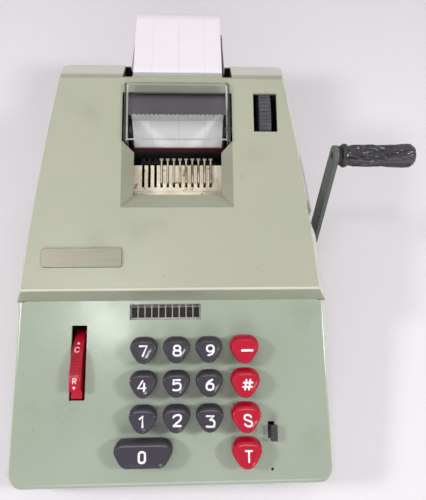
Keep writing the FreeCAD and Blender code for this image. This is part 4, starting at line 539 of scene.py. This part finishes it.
def made_piece(name, shape, finish, body, stands=None, instead_of=(), sharp=45):
    """Turns a drawing in millimetres into a finished piece that rides on a body."""
    bmesh.ops.transform(shape, matrix=Matrix.Scale(MM, 4) @ (stands or Matrix()), verts=shape.verts)
    mesh = bpy.data.meshes.new(name)
    shape.to_mesh(mesh)
    shape.free()
    mesh.materials.append(finish)
    mesh.shade_smooth()
    mesh.set_sharp_from_angle(angle=math.radians(sharp))
    item = bpy.data.objects.new(name, mesh)
    bpy.context.scene.collection.objects.link(item)
    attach(item, body)
    if instead_of:
        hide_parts(*instead_of)


def block(shape, low, high, soft=0.0):
    """A block between two corners, its edges softened if asked."""
    low, high = Vector(low), Vector(high)
    place = Matrix.Translation((low + high) / 2) @ Matrix.Diagonal((*(high - low), 1))
    verts = bmesh.ops.create_cube(shape, size=1, matrix=place)["verts"]
    if soft:
        edges = list({edge for vert in verts for edge in vert.link_edges})
        bmesh.ops.bevel(shape, geom=edges, offset=soft, segments=2, profile=0.5, affect="EDGES",
                        material=-1)


print("the panel leans", PANEL_SLOPE, "degrees and the hood", HOOD_SLOPE)

# %% [markdown]
# ## Key caps
# Each cap is a rounded triangle that points at the operator, wider at its foot, with bowed flanks
# and a shallow dish that the fingertip finds. It could be lofted from curves, but a sphere already
# has the right topology: rings of vertices from a pole under the cap to a pole in the dish. Each
# ring is pressed onto one outline of the mould, so no seams or holes appear. The outline is a
# circle with a wave of three crests, stretched to the width and the two reaches of the cap.

# %% The cap's outline and its rings
CORNER_REACH = 1.21  # how much further the outline's corners reach than its sides
RINGS = [
    # half width, rear reach, front reach, height over the panel
    (0.00, 0.00, 0.00, 5.30), (5.60, 5.00, 5.20, 5.20), (7.00, 6.60, 6.80, 4.50),
    (7.70, 7.60, 7.50, 4.45), (8.00, 8.00, 7.80, 4.90), (8.02, 7.95, 7.86, 6.00),
    (7.98, 7.65, 7.88, 7.40), (7.90, 7.10, 7.86, 8.70), (7.78, 6.45, 7.80, 9.70),
    (7.60, 5.85, 7.70, 10.40), (7.38, 5.35, 7.55, 10.88), (7.12, 5.00, 7.32, 11.18),
    (6.85, 4.76, 7.08, 11.27), (6.60, 4.52, 6.84, 11.22), (6.25, 4.28, 6.48, 11.11),
    (5.80, 3.97, 6.01, 11.00), (5.20, 3.56, 5.39, 10.92), (4.20, 2.88, 4.35, 10.85),
    (2.40, 1.64, 2.49, 10.82), (0.00, 0.00, 0.00, 10.82),
]
DISH = (6.6, 4.52, 6.84)
DISH_LOW, DISH_RISE = 10.82, 0.40


def plain_reach(angle):
    """How far a rounded triangle reaches whose sides lie at a distance of 1."""
    wave = (CORNER_REACH - 1) / (CORNER_REACH + 1)
    return (1 + wave * math.cos(3 * (angle + math.pi / 2))) / (1 - wave)


def stretches(wide, rear, front):
    """Factors that bring the plain triangle to its half width, rear reach and front reach."""
    turns = [math.radians(step) for step in range(0, 45, 3)]
    widest = max(plain_reach(turn) * math.cos(turn) for turn in turns)
    return wide / widest, rear, front / CORNER_REACH


def dish_height(x, y, scale, spread):
    """Height of the dish under a point of the cap's top."""
    across, rearward, forward = stretches(*DISH)
    x = math.copysign(max(0.0, abs(x) - spread), x) / (across * scale)
    y = y / ((rearward if y > 0 else forward) * scale)
    share = math.hypot(x, y) / plain_reach(math.atan2(y, x))
    return DISH_LOW + DISH_RISE * min(share, 1) ** 6


def cap(scale, spread):
    """A cap on its stem. Scale widens it, and spread pulls its two halves apart."""
    shape = bmesh.new()
    count = len(RINGS) - 1
    bmesh.ops.create_uvsphere(shape, u_segments=72, v_segments=count, radius=1)
    for vert in shape.verts:
        row = round(math.acos(max(-1.0, min(1.0, -vert.co.z))) / math.pi * count)
        wide, rear, front, height = RINGS[row]
        across, rearward, forward = stretches(wide, rear, front)
        angle = math.atan2(vert.co.y, vert.co.x)
        x, y = (plain_reach(angle) * side(angle) for side in (math.cos, math.sin))
        pull = math.copysign(spread, x) if wide and abs(x) > 1e-3 else 0
        vert.co = (x * across * scale + pull, y * (rearward if y > 0 else forward) * scale, height)
    block(shape, (-3, -1.3, -25), (3, 1.3, 5.3), 0.3)
    return shape


print("a digit cap is", round(2 * max(row[0] for row in RINGS), 1), "mm wide")

# %% [markdown]
# ## Legends
# The legends were moulded in a second shot of white plastic, in plain round strokes of one width. A
# typeface would have strokes of its own, so each sign is drawn here from a few points. A curve with
# a round bevel draws such a stroke, and a ball closes each open end. The drawing is then pressed
# flat and laid on the dish, point by point, so it follows the hollow instead of bridging it.

# %% Strokes of the legends, in millimetres from each one's middle
LINE, BEND, LOOP = "line", "bend", "loop"


def ring_of(x, y, half_x, half_y):
    """A closed stroke round a middle."""
    left, right, top, bottom = x - half_x, x + half_x, y + half_y, y - half_y
    return LOOP, [(left, top), (right, top), (right, bottom), (left, bottom)]


SIGNS = {
    "0": [(LOOP, [(-1.85, 3.1), (1.85, 3.1), (1.9, 0), (1.85, -3.1), (-1.85, -3.1), (-1.9, 0)])],
    "1": [(LINE, [(-1.4, 1.8), (0.25, 3.1), (0.25, -3.1)])],
    "2": [(BEND, [(-2.2, 2.0), (-1.6, 3.3), (2.4, 3.6), (2.6, 0.9), (0.5, -0.9), (-2.2, -3.1)]),
          (LINE, [(-2.2, -3.1), (2.3, -3.1)])],
    "3": [(LINE, [(-2.2, 3.1), (2.1, 3.1), (-0.2, 0.8)]),
          (BEND, [(-0.2, 0.8), (1.7, 1.0), (2.8, -0.7), (2.3, -3.0), (0.4, -3.4), (-2.3, -3.05)])],
    "4": [(LINE, [(0.4, 3.1), (-2.4, -1.35), (2.3, -1.35)]), (LINE, [(1.45, 1.5), (1.35, -3.1)])],
    "5": [(LINE, [(2.1, 3.1), (-1.9, 3.1), (-2.15, 0.5)]),
          (BEND, [(-2.15, 0.5), (-0.6, 1.3), (2.6, 1.0), (2.4, -2.6), (-0.3, -3.4),
                  (-2.25, -2.9)])],
    "6": [ring_of(0, -1.15, 2.2, 1.95),
          (BEND, [(1.5, 3.1), (-1.2, 1.9), (-2.25, -0.2), (-2.2, -1.15)])],
    "7": [(LINE, [(-2.2, 3.1), (2.2, 3.1), (-0.35, -3.1)])],
    "8": [ring_of(0, 1.6, 1.95, 1.5), ring_of(0, -1.55, 2.35, 1.6)],
    "9": [ring_of(0, 1.15, 2.2, 1.95),
          (BEND, [(2.2, 1.15), (2.3, -0.9), (0.9, -2.7), (-1.3, -3.1)])],
    "minus": [(LINE, [(-3.3, 0), (3.3, 0)])],
    "hash": [(LINE, [(-0.9, 3.0), (-1.9, -3.0)]), (LINE, [(1.6, 3.0), (0.6, -3.0)]),
             (LINE, [(-2.6, 1.25), (3.0, 1.25)]), (LINE, [(-3.1, -1.35), (2.5, -1.35)])],
    "S": [(BEND, [(1.9, 2.1), (1.4, 3.2), (-1.9, 3.6), (-2.5, 0.9), (0, 0.05), (2.5, -0.8),
                  (2.1, -3.6), (-1.5, -3.3), (-2.0, -2.1)])],
    "T": [(LINE, [(-2.0, 3.2), (2.0, 3.2)]), (LINE, [(0, 3.2), (0, -3.2)])],
    "C": [(BEND, [(1.0, 1.0), (0.5, 1.7), (-1.3, 1.6), (-1.3, -1.6), (0.5, -1.7), (1.0, -1.0)])],
    "R": [(LINE, [(-0.8, -1.4), (-0.8, 1.4)]),
          (BEND, [(-0.8, 1.4), (1.2, 1.6), (1.2, -0.1), (-0.6, 0.0)]),
          (LINE, [(0.1, 0.0), (1.0, -1.4)])],
}


def strokes(sign, width):
    """A sign drawn flat with a round pen, as a bmesh."""
    drawing = bpy.data.curves.new("drawing", "CURVE")
    drawing.dimensions = "3D"
    drawing.bevel_depth = width / 2
    drawing.bevel_resolution = 2
    drawing.resolution_u = 8
    shape = bmesh.new()
    for kind, spots in SIGNS[sign]:
        spline = drawing.splines.new("POLY" if kind == LINE else "NURBS")
        spline.points.add(len(spots) - 1)
        for point, (x, y) in zip(spline.points, spots):
            point.co = (x, y, 0, 1)
        spline.order_u = 3
        spline.use_endpoint_u = kind == BEND
        spline.use_cyclic_u = kind == LOOP
        balls = {LINE: spots, BEND: [spots[0], spots[-1]], LOOP: []}[kind]
        for x, y in balls:
            place = Matrix.Translation((x, y, 0))
            bmesh.ops.create_icosphere(shape, subdivisions=2, radius=width / 2, matrix=place)
    holder = bpy.data.objects.new("drawing", drawing)
    mesh = bpy.data.meshes.new_from_object(holder)
    shape.from_mesh(mesh)
    bpy.data.objects.remove(holder)
    bpy.data.curves.remove(drawing)
    bpy.data.meshes.remove(mesh)
    return shape


legend_white, sheet = started("legend_white")
soil = sheet.cloud(420, 4).ease(0.58, 0.72)
shade = (soil * 0.3).mix(tint(238, 236, 238), tint(190, 182, 180))
closed(sheet, {"Base Color": shade, "Roughness": 0.35 + soil * 0.2}, sheet.cloud(500), 0.01)
print(len(SIGNS), "signs")

# %% [markdown]
# The digit keys stand in three columns, 19 mm apart, and the four red keys in a column beside them.
# Each of the fourteen has its place on the panel, its sign and the stroke's width. The signs sit a
# little off the caps' middles, each in its own way, as they do on the machine, so their places are
# part of the table. Each cap replaces the plain one of its node and rides on the same body.

# %% The fourteen keys
KEYS = {
    # place of the cap on the panel, sign, stroke, place of the sign on the cap
    "key_7": (-16.6, 19.2, "7", 1.15, 0.0, -0.55), "key_8": (2.4, 19.2, "8", 1.15, 0.5, -0.5),
    "key_9": (21.4, 19.2, "9", 1.15, 0.7, -0.55), "key_4": (-16.6, 0, "4", 1.1, -0.5, -0.85),
    "key_5": (2.4, 0, "5", 1.1, 0.3, -0.6), "key_6": (21.4, 0, "6", 1.15, 0.3, -0.75),
    "key_1": (-16.6, -19.2, "1", 1.15, -0.1, -1.1), "key_2": (2.4, -19.2, "2", 1.15, 0.45, -0.85),
    "key_3": (21.4, -19.2, "3", 1.15, 0.2, -1.45), "key_0": (-16, -37.4, "0", 1.2, -0.5, -1.65),
    "key_minus": (42.2, 19.2, "minus", 1.35, 1.4, -0.95),
    "key_nonadd": (42.2, 0, "hash", 1.1, 1.3, -1.0),
    "key_subtotal": (42.2, -19.2, "S", 1.1, 0.85, -1.45),
    "key_total": (42.2, -38.4, "T", 1.05, 0.8, -1.35),
}
RED_KEYS = ("key_minus", "key_nonadd", "key_subtotal", "key_total")
RED_SCALE, WIDE_SPREAD, SIGN_SIZE = 1.08, 8.6, 0.9
SIGN_LIFT, SIGN_FLATNESS = 0.03, 0.16
for name, (x, y, sign, width, sign_x, sign_y) in KEYS.items():
    body, slot = name + "_body", "red_cap" if name in RED_KEYS else "digit_cap"
    scale = RED_SCALE if name in RED_KEYS else 1.0
    spread = WIDE_SPREAD if name == "key_0" else 0.0
    stands = PANEL @ Matrix.Translation((x, y, 0))
    made_piece(name + "_cap", cap(scale, spread), finishes[slot], body, stands, (name,))
    shape = strokes(sign, width / SIGN_SIZE)
    for vert in shape.verts:
        flat_x, flat_y = vert.co.x * SIGN_SIZE + sign_x, vert.co.y * SIGN_SIZE + sign_y
        height = dish_height(flat_x, flat_y, scale, spread) + SIGN_LIFT + SIGN_FLATNESS * vert.co.z
        vert.co = (flat_x, flat_y, height)
    made_piece(name + "_legend", shape, legend_white, body, stands)
print(len(KEYS), "caps and legends")

# %% [markdown]
# ## Rocker
# The red rocker swings under a slot in the panel. Its rim carries seven grip ribs with dull grooves
# between them, an arrow and a letter at each end, and a soft-edged head at its upper end. Each of
# them could be turned into its place by a matrix of its own, and would still be flat. Here they are
# drawn flat and then rolled round the rim, whose radius is known from CAD, so that they follow its
# curve.

# %% Ribs and signs on the rim
RIM, PIVOT_Y, PIVOT_Z, ROCKER_X = 34.6, 2, -26, -55.9
RIBS, RIB_STEP, RIBS_AT = 7, 1.75, 17.5


def roll_on(shape, angle, lift=0.0):
    """Rolls a flat drawing round the rim, its middle at an angle from square to the panel."""
    for vert in shape.verts:
        turn = math.radians(angle) + vert.co.y / RIM
        reach = RIM + lift + vert.co.z
        y, z = PIVOT_Y + reach * math.sin(turn), PIVOT_Z + reach * math.cos(turn)
        vert.co = (ROCKER_X + vert.co.x, y, z)


shape = bmesh.new()
for number in range(RIBS):
    middle = (number - (RIBS - 1) / 2) * RIB_STEP
    block(shape, (-2.7, middle - 0.42, -0.3), (2.7, middle + 0.42, 0.35), 0.15)
roll_on(shape, RIBS_AT)
made_piece("rocker_ribs", shape, finishes["red_cap"], "rocker_body", PANEL)
shape = bmesh.new()
for number in range(RIBS + 1):
    middle = (number - RIBS / 2) * RIB_STEP
    block(shape, (-2.7, middle - 0.5, -0.3), (2.7, middle + 0.5, 0.06))
roll_on(shape, RIBS_AT)
# the grooves get a darker red than the ribs
darker_groove_red = moulded("rocker_grooves", tint(140, 4, 32), tint(104, 8, 30), 0.6, 300, 0.03, 0.4)
made_piece("rocker_grooves", shape, darker_groove_red, "rocker_body", PANEL)
shape = bmesh.new()
block(shape, (-3.2, -4.0, -8.0), (3.2, 2.6, 0.0), 0.4)
roll_on(shape, 63.5)
made_piece("rocker_head", shape, finishes["red_cap"], "rocker_body", PANEL)
for sign, angle in (("C", 31.5), ("R", 0.5)):
    shape = strokes(sign, 0.42)
    for vert in shape.verts:
        vert.co.z *= 0.2
    roll_on(shape, angle, 0.03)
    made_piece("rocker_" + sign, shape, legend_white, "rocker_body", PANEL)
for name, angle, facing in (("rocker_arrow_up", 39.0, 0), ("rocker_arrow_down", -5.6, 180)):
    shape = bmesh.new()
    turned = Matrix.Rotation(math.radians(facing), 4, "Z")
    bmesh.ops.create_cone(shape, cap_ends=True, segments=3, radius1=1.15, radius2=1.1, depth=0.12,
                          matrix=turned)
    roll_on(shape, angle, 0.03)
    made_piece(name, shape, legend_white, "rocker_body", PANEL)
print(RIBS, "ribs,", RIBS + 1, "grooves, a head, two letters and two arrows")

# %% [markdown]
# ## Column indicator
# Ten cells show how many digits have been keyed in. The white frame has a tick between cells along
# its lower edge and a short dark mark over each cell. They could be printed on the frame by its
# finish, but a finish would have to know the places of all of them, and they are so small that
# blocks of a few faces are enough.

# %% Ticks and marks of the indicator
CELLS, CELL_STEP, CELLS_X = 10, 4.2, -4.65
shape = bmesh.new()
for number in range(CELLS + 1):
    x = CELLS_X + (number - CELLS / 2) * CELL_STEP
    block(shape, (x - 0.35, 37.3, -2.9), (x + 0.35, 38.4, -2.3), 0.1)
block(shape, (-26.0, 37.5, -2.9), (16.7, 38.9, -2.65), 0.05)
block(shape, (16.0, 38.9, -2.9), (16.6, 46.6, -2.65), 0.05)
made_piece("indicator_ticks", shape, finishes["white_plastic"], "base", PANEL)
shape = bmesh.new()
for number in range(CELLS):
    x = CELLS_X + (number - (CELLS - 1) / 2) * CELL_STEP
    block(shape, (x - 1.5, 45.5, -2.9), (x + 1.5, 46.5, -2.7), 0.05)
grey_mark = moulded("indicator_grey", tint(128, 118, 116), tint(90, 82, 80), 0.5)
made_piece("indicator_marks", shape, grey_mark, "base", PANEL)
print(CELLS + 1, "ticks and", CELLS, "marks")

# %% [markdown]
# ## Crank grip
# The grip is turned, with a flared collar beside the arm, a slight waist and a domed end, and a
# bore for its spindle. Its skin has shrunk into lengthwise wrinkles, deep enough to break its
# outline, which a bump can't do. A spun profile gives the form, and noise that is stretched along
# the grip pulls the skin in unevenly, never outwards, so the grip keeps its largest radius.

# %% A spun and wrinkled grip
grip_low, grip_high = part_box("crank_grip")
axis = Vector((0, (grip_low.y + grip_high.y) / 2, (grip_low.z + grip_high.z) / 2)) / MM
start, end = grip_low.x / MM, grip_high.x / MM
PROFILE = [
    # along the axis and out from it: the bore, the collar, the waist, the swell and the domed end
    (38.2, 0), (38.2, 2.6), (0, 2.6), (0, 5.2), (0.5, 6.5), (1.8, 7.1), (3.0, 6.9), (3.8, 5.9),
    (5.0, 5.8), (7.5, 6.5), (14, 6.6), (22, 6.45), (30, 6.75), (37, 7.15), (41, 7.0), (43.2, 5.6),
    (44, 3.2), (44, 0),
]
shape = bmesh.new()
spots = [shape.verts.new((start + x, axis.y, axis.z + radius)) for x, radius in PROFILE]
edges = [shape.edges.new(pair) for pair in zip(spots, spots[1:])]
long_edges = [edge for edge in edges if edge.calc_length() > 1.2]
bmesh.ops.subdivide_edges(shape, edges=long_edges, cuts=5)
bmesh.ops.spin(shape, geom=shape.verts[:] + shape.edges[:], cent=axis, axis=(1, 0, 0),
               angle=math.tau, steps=128, use_merge=True)
bmesh.ops.remove_doubles(shape, verts=shape.verts, dist=0.001)
bmesh.ops.recalc_face_normals(shape, faces=shape.faces)
for vert in shape.verts:
    out = Vector((0, vert.co.y - axis.y, vert.co.z - axis.z))
    far = vert.co.x - start
    if out.length < 4 or far < 0.3:
        continue  # the bore and the face beside the arm stay smooth
    around = out.normalized() * 2.1
    fold = noise.noise(Vector((far / 15, around.y, around.z)) + Vector((3, 1, 4)))
    fine = noise.noise(Vector((far / 7, around.y * 2.3, around.z * 2.3)) + Vector((7, 2, 1)))
    deep = 1.5 * (1 - min(1, abs(fold) * 3.4)) ** 2 + 0.55 * (1 - min(1, abs(fine) * 3)) ** 2
    calm = 0.35 if far < 4.5 else max(0.15, min(1.0, (PROFILE[-1][0] - far) / 8))
    vert.co -= out.normalized() * min(1.5, deep) * calm
made_piece("crank_grip_skin", shape, finishes["grip"], "grip", None, ("crank_grip",), 180)
print("grip", round(end - start, 1), "mm long")

# %% [markdown]
# ## Torn paper
# The last line was torn off against the toothed bar, which left a row of small teeth in the paper
# and one corner bent up. Cutting teeth into the strip with a boolean leaves ragged faces. Here a
# fine grid has its far edge moved up and down, is given its thickness, and lies on the strip's end.

# %% The torn edge
HALF_WIDE, HALF_DEEP, TOOTH, BENT = 28.5, 0.9, 1.325, 4
shape = bmesh.new()
stretch = Matrix.Diagonal((HALF_WIDE, HALF_DEEP, 1, 1))
bmesh.ops.create_grid(shape, x_segments=160, y_segments=4, size=1, matrix=stretch)
for vert in shape.verts:
    share = (vert.co.y + HALF_DEEP) / (2 * HALF_DEEP)
    tooth = abs((vert.co.x / TOOTH) % 2 - 1) - 0.5
    ragged = noise.noise(Vector((vert.co.x * 0.8, 0, 5))) * 0.5
    corner = max(0.0, vert.co.x - (HALF_WIDE - BENT)) / BENT
    vert.co.y += share * (3.3 + 0.9 * tooth + 0.35 * ragged + corner * 0.6)
    vert.co.z = 0.32 + share * (2.6 + corner * 0.9)
bmesh.ops.solidify(shape, geom=shape.faces[:], thickness=0.09)
bmesh.ops.recalc_face_normals(shape, faces=shape.faces)
strip_end = leaning((PAPER_MIDDLE, 53.95, 112.10), 65)
made_piece("torn_edge", shape, finishes["paper"], "base", strip_end)
print("torn edge", 2 * HALF_WIDE, "mm wide, with a tooth each", 2 * TOOTH, "mm")

# %% [markdown]
# ## Print window's small parts
# Seen from above, a narrow ledge closes the gap between the comb and the funnel, and the clear
# cover's front edge gathers light along its cut face. Real light in clear plastic would need a slow
# glass shader, so the bright edge is a piece with a pale finish. Both are slim blocks with softened
# edges, drawn in the hood's own frame. Two dark plates beside the roll's arms are painted shade:
# they close the slots so that these look dark inside instead of showing the table.

# %% Ledge, bright edge and two dark plates of painted shade
shape = bmesh.new()
block(shape, (-24.9, 61.6, -20.4), (31.3, 64.9, -19.6), 0.2)
made_piece("comb_ledge", shape, finishes["comb"], "base", HOOD)
shape = bmesh.new()
block(shape, (-26.9, 90.15, 2.75), (33.3, 90.75, 3.95), 0.2)
edge_light = moulded("acrylic_edge", tint(226, 228, 226), tint(196, 198, 196), 0.2, 300, 0.02, 0.4)
made_piece("cover_front_edge", shape, edge_light, "base", HOOD)
# painted shade: dark plates that close the slots beside the roll's arms
shape = bmesh.new()
block(shape, (-56.0, 96.0, 88.0), (-52.3, 97.2, 112.3), 0.2)
block(shape, (9.2, 96.0, 88.0), (12.9, 97.2, 112.3), 0.2)
made_piece("arm_slot_shields", shape, finishes["black_metal"], "base")
print("ledge, edge and two shields")

# %% [markdown]
# ## Paper wheel
# The thumb turns the platen with a wheel whose rim has fine ribs. A bump would leave the rim's
# outline smooth. A cylinder with pairs of vertices pressed in by turns gives real ribs, and a light
# bevel of its two rims keeps them from being razor sharp.

# %% The ribbed wheel
wheel_low, wheel_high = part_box("paper_wheel")
hub = (wheel_low + wheel_high) / 2 / MM
rim = (wheel_high.z - wheel_low.z) / 2 / MM
RIM_STEPS, STEPS_PER_RIB, RIB_DEEP = 288, 4, 0.6
shape = bmesh.new()
upright_disc = Matrix.Translation(hub) @ Matrix.Rotation(math.radians(90), 4, "Y")
bmesh.ops.create_cone(shape, cap_ends=True, segments=RIM_STEPS, radius1=rim, radius2=rim,
                      depth=(wheel_high.x - wheel_low.x) / MM, matrix=upright_disc)
rims = [edge for edge in shape.edges if len({round(vert.co.x, 3) for vert in edge.verts}) == 1]
bmesh.ops.bevel(shape, geom=rims, offset=0.5, segments=2, profile=0.5, affect="EDGES", material=-1)
for vert in shape.verts:
    out = Vector((0, vert.co.y - hub.y, vert.co.z - hub.z))
    number = round(math.atan2(out.z, out.y) / math.tau * RIM_STEPS)
    if number % STEPS_PER_RIB >= STEPS_PER_RIB / 2:
        vert.co -= out.normalized() * RIB_DEEP
made_piece("paper_wheel_rim", shape, finishes["wheel"], "platen", None,
           ("paper_wheel",), 30)
print("wheel", round(2 * rim, 1), "mm across, with", RIM_STEPS // STEPS_PER_RIB, "ribs")

# %% [markdown]
# ## Wound paper roll
# The end faces of a paper roll show its layers as fine rings. They could be cut as grooves,
# thousands of faces for a hair's depth. The roll's CAD solid is right, so only its finish changes:
# where the surface faces sideways, thin lines follow the distance from the roll's axis.

# %% Rings on the roll's ends
roll_low, roll_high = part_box("paper_roll")
middle = (roll_low + roll_high) / 2
wound, sheet = started("wound_paper")
flat = sheet.where(centre=middle, stretch=(0, 1, 1))
away = sheet.node("VectorMath", {"operation": "LENGTH"}, {0: flat}, "Value")
layers = {"W": away * 1500, "Scale": 1.0, "Detail": 2.0}
layers = sheet.node("TexNoise", {"noise_dimensions": "1D"}, layers)
facing = sheet.node("TexCoord", {}, {}, "Normal").part(0).maths("ABSOLUTE").ease(0.7, 0.9)
plain = sheet.cloud(60).mix(tint(240, 233, 236), tint(234, 227, 230))
edge = layers.ease(0.35, 0.65).mix(tint(214, 210, 208), tint(238, 236, 236))
closed(sheet, {"Base Color": facing.mix(plain, edge), "Roughness": 0.72},
       layers * facing + sheet.cloud(900) * 0.3, 0.04)
for place in frame["nodes"]["paper_roll"].material_slots:
    place.material = wound
print("roll", round((roll_high.y - roll_low.y) / MM, 1), "mm across")
